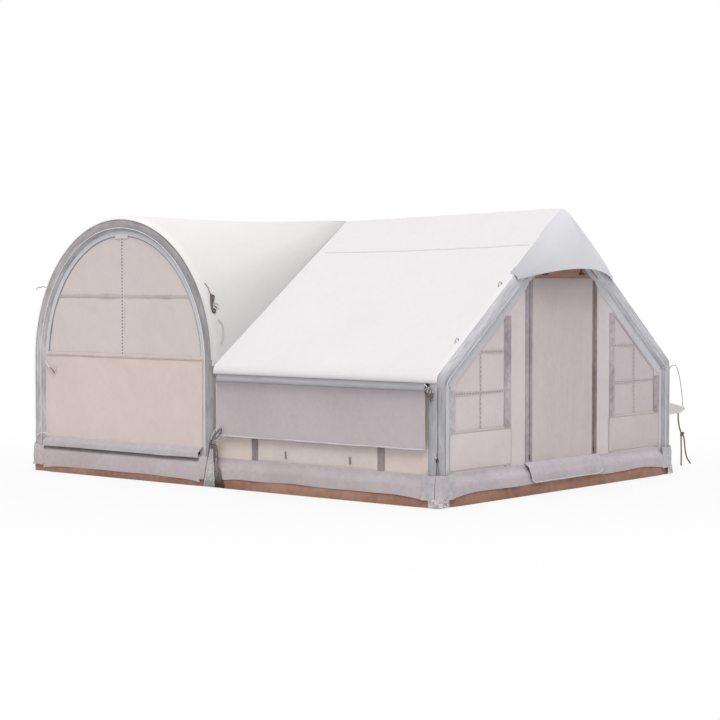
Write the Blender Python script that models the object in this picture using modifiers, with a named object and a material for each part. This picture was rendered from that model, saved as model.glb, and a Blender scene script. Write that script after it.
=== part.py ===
"""Inflatable cabin tent: a gabled hall with a door end, crossed by a barrel-vaulted bay.

Metres, +Z up. The ridge runs along X with the door at +X, and the vault runs along Y at -X.
The origin is under the middle of the groundsheet, at ground level.
"""

import math

import bmesh
import bpy
from mathutils import Matrix, Vector

# Driving sizes of the whole tent.
FOOTPRINT_LENGTH = 4.418
FOOTPRINT_WIDTH = 3.27
RIDGE_HEIGHT = 2.20
VAULT_SPAN = 2.17
VAULT_HEIGHT = 2.173
VAULT_SPRING_HEIGHT = 0.95
SEAM_RIDGE_DROP = 0.03
EAVE_BEAM_HEIGHT = 0.9235
ROOF_HEM_DROP = 0.0235

# Cloth, clearances and the air beams.
CLOTH = 0.004
GAP = 0.0005
LAP_GAP = 0.0008
BEAM_RADIUS = 0.065
SLEEVE_WALL = 0.002
BLADDER_GAP = 0.0008
BLADDER_FOOT_GAP = 0.012
BEND_RADIUS = 0.08
BEND_STEPS = 4
TUBE_BEVEL_RESOLUTION = 4
CORD_BEVEL_RESOLUTION = 2
SLEEVE_SIDES = 2 * TUBE_BEVEL_RESOLUTION + 4
ARCH_STEPS = 11
MERGE_DISTANCE = 0.00005

# Groundsheet and the mud skirts that hang over its raised edge.
FLOOR_RISE = 0.15
SKIRT_TOP = 0.235
SKIRT_BOTTOM = 0.06
SKIRT_END_GAP = 0.012
SKIRT_SHOULDER_DROP = 0.045

# Walls stand a little in front of the beams' middle.
WALL_FORWARD = 0.0255

# Gable end, measured out from its middle line.
DOOR_HALF_WIDTH = 0.42
DOORWAY_HALF_WIDTH = 0.385
DOOR_DROP = 0.226
DOORWAY_LAP = 0.02
DOORWAY_BOTTOM = 0.225
ZIP_INNER = 0.405
ZIP_OUTER = 0.50
HEADER_GAP = 0.008
HEADER_CREST = 0.38
HEM_HALF_WIDTH = 0.52
HEM_TOP = 0.25
HEM_REACH = 0.022
WINDOW_NEAR = 0.77
WINDOW_MARGIN = 0.1755
WINDOW_BOTTOM = 0.54
WINDOW_DROP = 0.262
WINDOW_BORDER = 0.03
WINDOW_BAR = 0.024
WINDOW_BAR_RISE = 0.003
WINDOW_BAR_SHARES = (0.332, 0.70)
WINDOW_UPRIGHT_SHARE = 0.492
POCKET_NEAR = 0.69
POCKET_MARGIN = 0.1055
POCKET_BOTTOM = 0.255
POCKET_TOP = 0.525
POCKET_BULGE = 0.014
VISOR_REACH = 0.15
VISOR_HALF_WIDTH = 0.69
VISOR_SIDE_DROP = 0.024
VISOR_DOOR_GAP = 0.092
VISOR_COLUMNS = 14
VISOR_ROWS = 6

# Vault ends.
VAULT_RIM = 0.165
VAULT_RAIL_TOP = 1.03
VAULT_RAIL_BOTTOM = 0.985
VAULT_DOOR_TOP = 1.005
VAULT_DOOR_MARGIN = 0.155
VAULT_DOORWAY_MARGIN = 0.185
VAULT_DOORWAY_BOTTOM = 0.245
VAULT_DOOR_FLAT_BOTTOM = 0.30
VAULT_DOOR_HEM_BOTTOM = 0.225
VAULT_DOOR_HEM_REACH = 0.055
VAULT_BAR_HEIGHT = 1.505
CANOPY_LIP = 0.05
CANOPY_COLUMNS = 8
CANOPY_SAG = 0.02

# Side walls of the hall, with margins from the seam and from the gable beam.
SIDE_WINDOW_LEFT_MARGIN = 0.42
SIDE_WINDOW_RIGHT_MARGIN = 0.464
SIDE_WINDOW_BOTTOM = 0.44
SIDE_WINDOW_TOP_DROP = 0.10
SIDE_FLAP_LEFT_MARGIN = 0.07
SIDE_FLAP_RIGHT_MARGIN = 0.054
SIDE_FLAP_BOTTOM = 0.415
SIDE_FLAP_BOW = 0.012
SIDE_FLAP_FOLDS = 5
SIDE_FLAP_FOLD_DEPTH = 0.004
ROOF_SAG = 0.018
ROOF_COLUMNS = 8
ROOF_SLOPE_STEPS = 5
EAVE_STEPS = 4

# Where the parts stand.
X_DOOR = FOOTPRINT_LENGTH / 2
X_FLANK = -FOOTPRINT_LENGTH / 2
Y_SIDE = FOOTPRINT_WIDTH / 2
BEAM_INSET = CLOTH + GAP + BEAM_RADIUS
X_GABLE_BEAM = X_DOOR - BEAM_INSET
Y_BEAM = Y_SIDE - BEAM_INSET
X_VAULT_LEFT = X_FLANK + CLOTH + GAP
X_VAULT_MIDDLE = X_VAULT_LEFT + VAULT_SPAN / 2
X_SEAM = X_VAULT_LEFT + VAULT_SPAN
X_MIDDLE_BEAM = X_SEAM + GAP + BEAM_RADIUS
ARCH_HALF_WIDTH = VAULT_SPAN / 2
ARCH_RISE = VAULT_HEIGHT - VAULT_SPRING_HEIGHT
VAULT_DOOR_HALF_WIDTH = ARCH_HALF_WIDTH - VAULT_DOOR_MARGIN
VAULT_DOORWAY_HALF_WIDTH = ARCH_HALF_WIDTH - VAULT_DOORWAY_MARGIN
SEAM_RIDGE_HEIGHT = VAULT_HEIGHT - SEAM_RIDGE_DROP
ROOF_HEM_HEIGHT = EAVE_BEAM_HEIGHT - ROOF_HEM_DROP
FLOOR_TOP = CLOTH + GAP
ROOF_RADIUS = BEAM_RADIUS + GAP + CLOTH
WINDOW_FAR = Y_BEAM - WINDOW_MARGIN
WINDOW_UPRIGHT = WINDOW_NEAR + (WINDOW_FAR - WINDOW_NEAR) * WINDOW_UPRIGHT_SHARE
POCKET_FAR = Y_BEAM - POCKET_MARGIN
SIDE_WINDOW_TOP = ROOF_HEM_HEIGHT - SIDE_WINDOW_TOP_DROP
SIDE_WINDOW_LEFT = X_SEAM + SIDE_WINDOW_LEFT_MARGIN
SIDE_WINDOW_RIGHT = X_GABLE_BEAM - SIDE_WINDOW_RIGHT_MARGIN
SIDE_FLAP_LEFT = X_SEAM + SIDE_FLAP_LEFT_MARGIN
SIDE_FLAP_RIGHT = X_GABLE_BEAM - SIDE_FLAP_RIGHT_MARGIN
SIDES = {"front": -1, "rear": 1}


def sleeve_reach(offset):
    """How far a sleeve's faceted round reaches from its axis, at this offset to one side."""
    half = math.pi / SLEEVE_SIDES
    facet = math.floor(math.asin(offset / BEAM_RADIUS) / (2 * half))
    turn = (2 * facet + 1) * half
    return (BEAM_RADIUS * math.cos(half) - offset * math.sin(turn)) / math.cos(turn)


WALL_INSET = sleeve_reach(WALL_FORWARD) + GAP


def roof_pitch(ridge_height):
    """Angle of a roof slope that runs from the ridge to a tangent on the eave roll."""
    rise = ridge_height - EAVE_BEAM_HEIGHT
    reach = math.hypot(rise, Y_BEAM)
    return math.acos(ROOF_RADIUS / reach) - math.atan2(Y_BEAM, rise)


GABLE_PITCH = roof_pitch(RIDGE_HEIGHT)
SEAM_PITCH = roof_pitch(SEAM_RIDGE_HEIGHT)


def beam_apex(ridge_height, pitch):
    return ridge_height - ROOF_RADIUS / math.cos(pitch)


def slope_line(across, drop):
    """Height of a line this far straight below the gable roof's outer face."""
    return RIDGE_HEIGHT - across * math.tan(GABLE_PITCH) - drop


# Heights at the gable end that follow the roof's slope.
BEAM_DROP = (ROOF_RADIUS + WALL_INSET) / math.cos(GABLE_PITCH)
DOOR_TOP = slope_line(DOOR_HALF_WIDTH, DOOR_DROP)
DOORWAY_TOP = DOOR_TOP - DOORWAY_LAP
HEADER_BOTTOM = DOOR_TOP + HEADER_GAP
HEADER_TOP = slope_line(HEADER_CREST, BEAM_DROP)
VISOR_SIDE_HEIGHT = slope_line(VISOR_HALF_WIDTH, VISOR_SIDE_DROP)
VISOR_MIDDLE_HEIGHT = DOOR_TOP + VISOR_DOOR_GAP
WINDOW_CROWN = slope_line(WINDOW_NEAR, WINDOW_DROP)

for old in list(bpy.data.objects):
    bpy.data.objects.remove(old)
TENT = bpy.data.collections.new("inflatable_tent")
CUTTERS = bpy.data.collections.new("cutters")
bpy.context.scene.collection.children.link(TENT)
bpy.context.scene.collection.children.link(CUTTERS)


def make_material(name, colour, roughness, metallic=0.0):
    material = bpy.data.materials.new(name)
    material.use_nodes = True
    shader = material.node_tree.nodes["Principled BSDF"]
    shader.inputs["Base Color"].default_value = (*colour, 1.0)
    shader.inputs["Roughness"].default_value = roughness
    shader.inputs["Metallic"].default_value = metallic
    return material


ROOF_CLOTH = make_material("roof_cloth", (0.84, 0.83, 0.82), 0.8)
SLEEVE_CLOTH = make_material("sleeve_cloth", (0.38, 0.39, 0.41), 0.75)
WALL_CLOTH = make_material("wall_cloth", (0.62, 0.56, 0.54), 0.85)
WINDOW_CLOTH = make_material("window_cloth", (0.55, 0.50, 0.49), 0.85)
SKIRT_CLOTH = make_material("skirt_cloth", (0.46, 0.42, 0.42), 0.8)
FLAP_CLOTH = make_material("flap_cloth", (0.44, 0.41, 0.42), 0.8)
FLOOR_CLOTH = make_material("floor_cloth", (0.28, 0.15, 0.10), 0.7)
BLADDER_FILM = make_material("bladder_film", (0.70, 0.72, 0.74), 0.35)
TAPE_CLOTH = make_material("tape_cloth", (0.24, 0.21, 0.21), 0.8)
BROWN_LEATHER = make_material("brown_leather", (0.10, 0.06, 0.04), 0.6)
BROWN_WEBBING = make_material("brown_webbing", (0.22, 0.13, 0.08), 0.8)
DARK_CORD = make_material("dark_cord", (0.10, 0.09, 0.09), 0.8)
VALVE_PLASTIC = make_material("valve_plastic", (0.06, 0.06, 0.06), 0.45)
ZIP_METAL = make_material("zip_metal", (0.35, 0.33, 0.31), 0.4, 0.9)


def add_object(name, data, material, place=Matrix()):
    item = bpy.data.objects.new(name, data)
    item.matrix_world = place
    if not data.materials:
        data.materials.append(material)
    TENT.objects.link(item)
    return item


def facing(direction, origin):
    """Places local X along the wall, local Y up and local Z out of the wall."""
    out = Vector(direction)
    up = Vector((0, 0, 1))
    along = up.cross(out)
    turn = Matrix((along, up, out)).transposed()
    return Matrix.Translation(origin) @ turn.to_4x4()


def profile_facing(direction, origin):
    """Places local X out of the wall, local Y up and local Z along the wall."""
    out = Vector(direction)
    up = Vector((0, 0, 1))
    turn = Matrix((out, up, out.cross(up))).transposed()
    return Matrix.Translation(origin) @ turn.to_4x4()


def rounded(points, radius, steps):
    """The path with each inner corner turned into an arc of this radius."""
    path = [Vector(points[0])]
    for before, corner, after in zip(points, points[1:], points[2:]):
        corner = Vector(corner)
        back = (Vector(before) - corner).normalized()
        ahead = (Vector(after) - corner).normalized()
        half = back.angle(ahead) / 2
        centre = corner + (back + ahead).normalized() * radius / math.sin(half)
        start = corner + back * radius / math.tan(half)
        end = corner + ahead * radius / math.tan(half)
        first = (start - centre).normalized()
        last = (end - centre).normalized()
        for step in range(steps + 1):
            path.append(centre + first.slerp(last, step / steps) * radius)
    path.append(Vector(points[-1]))
    return path


def tube(name, path, radius, material, resolution=TUBE_BEVEL_RESOLUTION, capped=True):
    data = bpy.data.curves.new(name, "CURVE")
    data.dimensions = "3D"
    data.bevel_depth = radius
    data.bevel_resolution = resolution
    data.use_fill_caps = capped
    spline = data.splines.new("POLY")
    spline.points.add(len(path) - 1)
    for point, place in zip(spline.points, path):
        point.co = (*place, 1)
    return add_object(name, data, material)


def as_mesh(item):
    """Turns a curve object into a mesh object with its seams welded."""
    graph = bpy.context.evaluated_depsgraph_get()
    mesh = bpy.data.meshes.new_from_object(item.evaluated_get(graph))
    shape = bmesh.new()
    shape.from_mesh(mesh)
    bmesh.ops.remove_doubles(shape, verts=shape.verts, dist=MERGE_DISTANCE)
    shape.to_mesh(mesh)
    shape.free()
    name, place, material = item.name, item.matrix_world.copy(), item.data.materials[0]
    bpy.data.objects.remove(item)
    mesh.materials.clear()
    return add_object(name, mesh, material, place)


def thicken(item, thickness, offset=-1.0):
    solidify = item.modifiers.new("cloth", "SOLIDIFY")
    solidify.thickness = thickness
    solidify.offset = offset
    solidify.use_even_offset = True
    return solidify


def smooth(item, angle):
    item.data.shade_smooth()
    item.data.set_sharp_from_angle(angle=angle)


def air_beam(name, path):
    """One air beam: an open-ended cloth sleeve with its pressurised bladder inside."""
    sleeve = tube(name + "_sleeve", path, BEAM_RADIUS, SLEEVE_CLOTH, capped=False)
    sleeve = as_mesh(sleeve)
    thicken(sleeve, SLEEVE_WALL)
    smooth(sleeve, math.radians(40))
    first = (path[1] - path[0]).normalized() * BLADDER_FOOT_GAP
    last = (path[-2] - path[-1]).normalized() * BLADDER_FOOT_GAP
    inner = [path[0] + first, *path[1:-1], path[-1] + last]
    bladder_radius = BEAM_RADIUS - SLEEVE_WALL - BLADDER_GAP
    tube(name + "_bladder", inner, bladder_radius, BLADDER_FILM)


def outline(name, loops, thickness, place, material):
    """A flat cloth panel from closed outlines, the later ones being holes, centred on its plane."""
    data = bpy.data.curves.new(name, "CURVE")
    data.dimensions = "2D"
    data.fill_mode = "BOTH"
    data.extrude = thickness / 2
    for loop in loops:
        spline = data.splines.new("POLY")
        spline.points.add(len(loop) - 1)
        for point, (across, up) in zip(spline.points, loop):
            point.co = (across, up, 0, 1)
        spline.use_cyclic_u = True
    return add_object(name, data, material, place)


def rectangle(left, right, bottom, top):
    return [(left, bottom), (right, bottom), (right, top), (left, top)]


def loft_shell(name, rows, material):
    """A closed sheet from rows of (outer, inner) point pairs."""
    shape = bmesh.new()
    grid = [[[shape.verts.new(point) for point in pair] for pair in row] for row in rows]
    last_row, last_column = len(grid) - 1, len(grid[0]) - 1

    def face(*corners):
        shape.faces.new([grid[row][column][side] for row, column, side in corners])

    for row in range(last_row):
        for column in range(last_column):
            face((row, column, 0), (row + 1, column, 0), (row + 1, column + 1, 0), (row, column + 1, 0))
            face((row, column, 1), (row, column + 1, 1), (row + 1, column + 1, 1), (row + 1, column, 1))
    for row in range(last_row):
        face((row, 0, 0), (row, 0, 1), (row + 1, 0, 1), (row + 1, 0, 0))
        face((row, last_column, 0), (row + 1, last_column, 0), (row + 1, last_column, 1), (row, last_column, 1))
    for column in range(last_column):
        face((0, column, 0), (0, column + 1, 0), (0, column + 1, 1), (0, column, 1))
        face(
            (last_row, column, 0),
            (last_row, column, 1),
            (last_row, column + 1, 1),
            (last_row, column + 1, 0),
        )
    bmesh.ops.recalc_face_normals(shape, faces=shape.faces)
    mesh = bpy.data.meshes.new(name)
    shape.to_mesh(mesh)
    shape.free()
    item = add_object(name, mesh, material)
    smooth(item, math.radians(50))
    return item


# Air beams.
def house_path(x, apex_height, foot):
    points = [
        (x, -Y_BEAM, foot),
        (x, -Y_BEAM, EAVE_BEAM_HEIGHT),
        (x, 0, apex_height),
        (x, Y_BEAM, EAVE_BEAM_HEIGHT),
        (x, Y_BEAM, foot),
    ]
    return rounded(points, BEND_RADIUS, BEND_STEPS)


def rafter_path(x, pitch, apex_height):
    """The two rafters of the middle frame, cut square where they stand on the eave beams."""
    stand_off = BEAM_RADIUS + GAP
    low = (Y_BEAM - stand_off * math.cos(pitch), EAVE_BEAM_HEIGHT + stand_off * math.sin(pitch))
    points = [(x, -low[0], low[1]), (x, 0, apex_height), (x, low[0], low[1])]
    return rounded(points, BEND_RADIUS, BEND_STEPS)


def arch_path(y):
    half_width = ARCH_HALF_WIDTH - ROOF_RADIUS
    rise = ARCH_RISE - ROOF_RADIUS
    path = [Vector((X_VAULT_MIDDLE - half_width, y, FLOOR_TOP))]
    for step in range(2 * ARCH_STEPS + 1):
        angle = math.pi * (1 - step / (2 * ARCH_STEPS))
        across = X_VAULT_MIDDLE + half_width * math.cos(angle)
        path.append(Vector((across, y, VAULT_SPRING_HEIGHT + rise * math.sin(angle))))
    path.append(Vector((X_VAULT_MIDDLE + half_width, y, FLOOR_TOP)))
    return path


def add_air_beams():
    gable_apex = beam_apex(RIDGE_HEIGHT, GABLE_PITCH)
    seam_apex = beam_apex(SEAM_RIDGE_HEIGHT, SEAM_PITCH)
    air_beam("gable_beam", house_path(X_GABLE_BEAM, gable_apex, FLOOR_TOP))
    air_beam("middle_beam", rafter_path(X_MIDDLE_BEAM, SEAM_PITCH, seam_apex))
    for side, sign in SIDES.items():
        air_beam(f"{side}_arch", arch_path(sign * Y_BEAM))
        start = X_SEAM + GAP
        end = X_GABLE_BEAM - BEAM_RADIUS - GAP
        ends = [(start, sign * Y_BEAM, EAVE_BEAM_HEIGHT), (end, sign * Y_BEAM, EAVE_BEAM_HEIGHT)]
        air_beam(f"{side}_eave_beam", [Vector(point) for point in ends])
    corner_cut = BEND_RADIUS / math.cos(GABLE_PITCH) - BEND_RADIUS
    slant = (gable_apex - seam_apex) / (X_GABLE_BEAM - X_MIDDLE_BEAM)
    stand_off = BEAM_RADIUS * (1 + abs(slant) / 2) + GAP
    start = Vector((X_MIDDLE_BEAM + stand_off, 0, seam_apex - corner_cut))
    end = Vector((X_GABLE_BEAM - stand_off, 0, gable_apex - corner_cut))
    air_beam("ridge_beam", [start, end])
    reach = Y_BEAM - BEAM_RADIUS - GAP
    height = VAULT_HEIGHT - ROOF_RADIUS - CANOPY_SAG
    ends = [Vector((X_VAULT_MIDDLE, -reach, height)), Vector((X_VAULT_MIDDLE, reach, height))]
    air_beam("vault_beam", ends)


# Roof of the hall and canopy of the vault.
def roof_section(x, ridge_height, sag):
    """(outer, inner) points from the front hem over the eave roll and the ridge to the rear hem."""
    pitch = roof_pitch(ridge_height)
    half = [((Y_BEAM + ROOF_RADIUS, ROOF_HEM_HEIGHT), (Y_BEAM + ROOF_RADIUS - CLOTH, ROOF_HEM_HEIGHT))]
    for step in range(EAVE_STEPS + 1):
        angle = (math.pi / 2 - pitch) * step / EAVE_STEPS
        spoke = Vector((math.cos(angle), math.sin(angle)))
        centre = Vector((Y_BEAM, EAVE_BEAM_HEIGHT))
        half.append((centre + spoke * ROOF_RADIUS, centre + spoke * (ROOF_RADIUS - CLOTH)))
    apex = (Vector((0, ridge_height)), Vector((0, ridge_height - CLOTH / math.cos(pitch))))
    foot = half[-1]
    drop = Vector((math.sin(pitch), math.cos(pitch))) * sag
    for step in range(1, ROOF_SLOPE_STEPS):
        share = step / ROOF_SLOPE_STEPS
        hollow = drop * math.sin(math.pi * share)
        half.append(tuple(low.lerp(high, share) - hollow for low, high in zip(foot, apex)))
    front = [tuple(Vector((x, -point[0], point[1])) for point in pair) for pair in half]
    rear = [tuple(Vector((x, point[0], point[1])) for point in pair) for pair in reversed(half)]
    ridge = tuple(Vector((x, 0, point[1])) for point in apex)
    return [*front, ridge, *rear]


def add_hall_roof():
    rows = [roof_section(X_SEAM + GAP, SEAM_RIDGE_HEIGHT, 0)]
    start = X_MIDDLE_BEAM + BEAM_RADIUS
    end = X_GABLE_BEAM - BEAM_RADIUS
    for column in range(ROOF_COLUMNS + 1):
        share = column / ROOF_COLUMNS
        x = start + (end - start) * share
        ridge_height = SEAM_RIDGE_HEIGHT + (RIDGE_HEIGHT - SEAM_RIDGE_HEIGHT) * share
        rows.append(roof_section(x, ridge_height, ROOF_SAG * math.sin(math.pi * share)))
    rows.append(roof_section(X_GABLE_BEAM, RIDGE_HEIGHT, 0))
    loft_shell("hall_roof", rows, ROOF_CLOTH)


def seam_height(y):
    """Height of the hall roof's outer face in the seam's plane."""
    spoke = min(abs(y) - Y_BEAM, ROOF_RADIUS)
    if spoke <= ROOF_RADIUS * math.sin(SEAM_PITCH):
        return SEAM_RIDGE_HEIGHT - abs(y) * math.tan(SEAM_PITCH)
    return EAVE_BEAM_HEIGHT + math.sqrt(ROOF_RADIUS**2 - spoke**2)


def canopy_section(y, sag):
    """(outer, inner) points from the flank's foot over the vault and down to the seam."""
    section = [
        (Vector((X_VAULT_LEFT, y, FLOOR_TOP)), Vector((X_VAULT_LEFT + CLOTH, y, FLOOR_TOP))),
    ]
    for step in range(2 * ARCH_STEPS + 1):
        angle = math.pi * (1 - step / (2 * ARCH_STEPS))
        base = VAULT_SPRING_HEIGHT if angle >= math.pi / 2 else seam_height(y)
        pair = []
        for inset in (0, CLOTH):
            across = X_VAULT_MIDDLE + (ARCH_HALF_WIDTH - inset) * math.cos(angle)
            up = base + (VAULT_HEIGHT - base - inset) * math.sin(angle)
            pair.append(Vector((across, y, up - sag * math.sin(angle))))
        section.append(tuple(pair))
    lip = seam_height(y) - CANOPY_LIP
    section.append((Vector((X_SEAM, y, lip)), Vector((X_SEAM - CLOTH, y, lip))))
    return section


def add_vault_canopy():
    rows = [canopy_section(-Y_BEAM, 0)]
    reach = Y_BEAM - BEAM_RADIUS
    for column in range(CANOPY_COLUMNS + 1):
        share = 2 * column / CANOPY_COLUMNS - 1
        rows.append(canopy_section(reach * share, CANOPY_SAG * (1 - share**2)))
    rows.append(canopy_section(Y_BEAM, 0))
    loft_shell("vault_canopy", rows, ROOF_CLOTH)


# Groundsheet with raised edges, and the skirts that cover them.
def add_groundsheet():
    shape = bmesh.new()
    size = (FOOTPRINT_LENGTH, FOOTPRINT_WIDTH, FLOOR_RISE)
    bmesh.ops.create_cube(shape, size=1, matrix=Matrix.Diagonal((*size, 1)))
    top = [face for face in shape.faces if face.normal.z > 0.5]
    bmesh.ops.delete(shape, geom=top, context="FACES_ONLY")
    mesh = bpy.data.meshes.new("groundsheet")
    shape.to_mesh(mesh)
    shape.free()
    place = Matrix.Translation((0, 0, FLOOR_RISE / 2))
    thicken(add_object("groundsheet", mesh, FLOOR_CLOTH, place), CLOTH)


def sheet_profile(middle, thickness):
    """The outline of a bent strip of this thickness along a line of (out, up) points."""
    points = [Vector(point) for point in middle]
    sides = ([], [])
    for index, point in enumerate(points):
        before = points[max(index - 1, 0)]
        after = points[min(index + 1, len(points) - 1)]
        run = (after - before).normalized()
        side = Vector((run.y, -run.x)) * thickness / 2
        sides[0].append(point + side)
        sides[1].append(point - side)
    return [*sides[0], *reversed(sides[1])]


def add_skirt(name, direction, wall_face, edge_face, middle, length):
    """A mud skirt: sewn to the wall above the groundsheet's edge, then hanging outside it."""
    inner = wall_face + LAP_GAP + CLOTH / 2
    outer = edge_face + GAP + CLOTH / 2
    line = [
        (inner, SKIRT_TOP),
        (inner, SKIRT_TOP - SKIRT_SHOULDER_DROP / 2),
        (outer, SKIRT_TOP - 3 * SKIRT_SHOULDER_DROP / 2),
        (outer, SKIRT_BOTTOM),
    ]
    loop = sheet_profile(line, CLOTH)
    outline(name, [loop], length, profile_facing(direction, middle), SKIRT_CLOTH)


# Gable end with its door, windows, pockets and hood.
def gable_outline():
    """The gable wall's edge, which follows the bent beam all the way round."""
    edge = Y_BEAM - WALL_INSET
    points = [
        (-edge, FLOOR_TOP, 0),
        (-edge, slope_line(edge, BEAM_DROP), 0),
        (0, slope_line(0, BEAM_DROP), 0),
        (edge, slope_line(edge, BEAM_DROP), 0),
        (edge, FLOOR_TOP, 0),
    ]
    path = rounded(points, BEND_RADIUS - WALL_INSET, BEND_STEPS)
    return [(point.x, point.y) for point in path]


def window_loop(border, sign=1):
    """The gable window's trapezium, grown by a border on every side."""
    near, far = WINDOW_NEAR - border, WINDOW_FAR + border
    drop = WINDOW_DROP - border / math.cos(GABLE_PITCH)
    points = [
        (near, WINDOW_BOTTOM - border),
        (far, WINDOW_BOTTOM - border),
        (far, slope_line(far, drop)),
        (near, slope_line(near, drop)),
    ]
    return [(sign * across, up) for across, up in points]


def strip(start, end, width):
    """The outline of a straight strip from start to end."""
    start, end = Vector(start), Vector(end)
    side = (end - start).normalized().orthogonal() * width / 2
    return [start - side, end - side, end + side, start + side]


def join(target, other):
    """Boolean union that leaves one closed body."""
    union = target.modifiers.new("join", "BOOLEAN")
    union.operation = "UNION"
    union.object = other
    other.hide_render = True
    other.display_type = "WIRE"
    TENT.objects.unlink(other)
    CUTTERS.objects.link(other)


def add_gable_window(name, sign, wall_face):
    """A window sheet behind the wall with raised bars that show through the opening."""
    behind = wall_face - CLOTH - LAP_GAP - CLOTH / 2
    place = facing((1, 0, 0), (behind, 0, 0))
    loop = window_loop(WINDOW_BORDER, sign)
    sheet = as_mesh(outline(name, [loop], CLOTH, place, WINDOW_CLOTH))
    bars = []
    inner = window_loop(-GAP, sign)
    top = inner[3][1], inner[2][1]
    for share in WINDOW_BAR_SHARES:
        height = WINDOW_BOTTOM + (WINDOW_CROWN - WINDOW_BOTTOM) * share
        drop = WINDOW_DROP + GAP
        reach = (RIDGE_HEIGHT - height - drop) / math.tan(GABLE_PITCH)
        far = min(WINDOW_FAR - GAP, reach - WINDOW_BAR)
        bars.append(((sign * (WINDOW_NEAR + GAP), height), (sign * far, height)))
    crown = top[0] + (top[1] - top[0]) * (WINDOW_UPRIGHT - WINDOW_NEAR) / (WINDOW_FAR - WINDOW_NEAR)
    bars.append(((sign * WINDOW_UPRIGHT, WINDOW_BOTTOM + GAP), (sign * WINDOW_UPRIGHT, crown - WINDOW_BAR)))
    front = facing((1, 0, 0), (behind + WINDOW_BAR_RISE / 2 + CLOTH / 4, 0, 0))
    for index, (start, end) in enumerate(bars):
        thickness = WINDOW_BAR_RISE + CLOTH / 2
        bar = outline(f"{name}_bar_{index}", [strip(start, end, WINDOW_BAR)], thickness, front, WINDOW_CLOTH)
        join(sheet, as_mesh(bar))


def cloth_grid(name, width, height, across_steps, up_steps, place, material, out):
    """A hanging sheet. out(across, down) gives how far its outer face stands off, both as shares."""
    shape = bmesh.new()
    bmesh.ops.create_grid(shape, x_segments=across_steps, y_segments=up_steps, size=0.5)
    for vert in shape.verts:
        across, down = vert.co.x + 0.5, 0.5 - vert.co.y
        vert.co = (vert.co.x * width, -down * height, out(across, down))
    mesh = bpy.data.meshes.new(name)
    shape.to_mesh(mesh)
    shape.free()
    item = add_object(name, mesh, material, place)
    thicken(item, CLOTH)
    smooth(item, math.radians(50))
    return item


def visor_point(across, along):
    """A point of the hood's outer face: across runs -1 to 1, along runs 0 at the roof to 1 at the hem."""
    y = across * VISOR_HALF_WIDTH
    top = RIDGE_HEIGHT - abs(y) * math.tan(GABLE_PITCH)
    hem = VISOR_SIDE_HEIGHT + (VISOR_MIDDLE_HEIGHT - VISOR_SIDE_HEIGHT) * (1 - across**2)
    start = X_GABLE_BEAM + GAP
    reach = X_DOOR + CLOTH - start + (VISOR_REACH - CLOTH) * (1 - across**2)
    angle = along * math.pi / 2
    return Vector((start + reach * math.sin(angle), y, hem + (top - hem) * math.cos(angle)))


def add_visor():
    rows = []
    step = 1 / VISOR_ROWS
    for column in range(VISOR_COLUMNS + 1):
        across = 2 * column / VISOR_COLUMNS - 1
        row = []
        for index in range(VISOR_ROWS + 1):
            outer = visor_point(across, index * step)
            slope = visor_point(across, (index + step) * step) - visor_point(across, (index - step) * step)
            inward = Vector((slope.z, 0, -slope.x)).normalized() * CLOTH
            row.append((outer, outer + inward))
        rows.append(row)
    loft_shell("visor_hood", rows, ROOF_CLOTH)


def add_gable_end():
    wall_back = X_GABLE_BEAM + WALL_FORWARD
    wall_face = wall_back + CLOTH
    plane = facing((1, 0, 0), (wall_back + CLOTH / 2, 0, 0))
    doorway = rectangle(-DOORWAY_HALF_WIDTH, DOORWAY_HALF_WIDTH, DOORWAY_BOTTOM, DOORWAY_TOP)
    loops = [gable_outline(), doorway, window_loop(0), window_loop(0, -1)]
    outline("gable_wall", loops, CLOTH, plane, WALL_CLOTH)
    for name, sign in (("left", -1), ("right", 1)):
        add_gable_window(f"gable_window_{name}", sign, wall_face)
        middle = sign * (POCKET_NEAR + POCKET_FAR) / 2
        place = facing((1, 0, 0), (wall_face + LAP_GAP + CLOTH, middle, POCKET_TOP))
        cloth_grid(
            f"gable_pocket_{name}",
            POCKET_FAR - POCKET_NEAR,
            POCKET_TOP - POCKET_BOTTOM,
            6,
            4,
            place,
            WALL_CLOTH,
            lambda across, down: POCKET_BULGE * math.sin(math.pi * across) * math.sin(math.pi * down),
        )
    length = 2 * (Y_BEAM - BEAM_RADIUS - SKIRT_END_GAP)
    add_skirt("gable_skirt", (1, 0, 0), wall_face, X_DOOR, (0, 0, 0), length)
    add_door(wall_face)
    add_visor()


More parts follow.
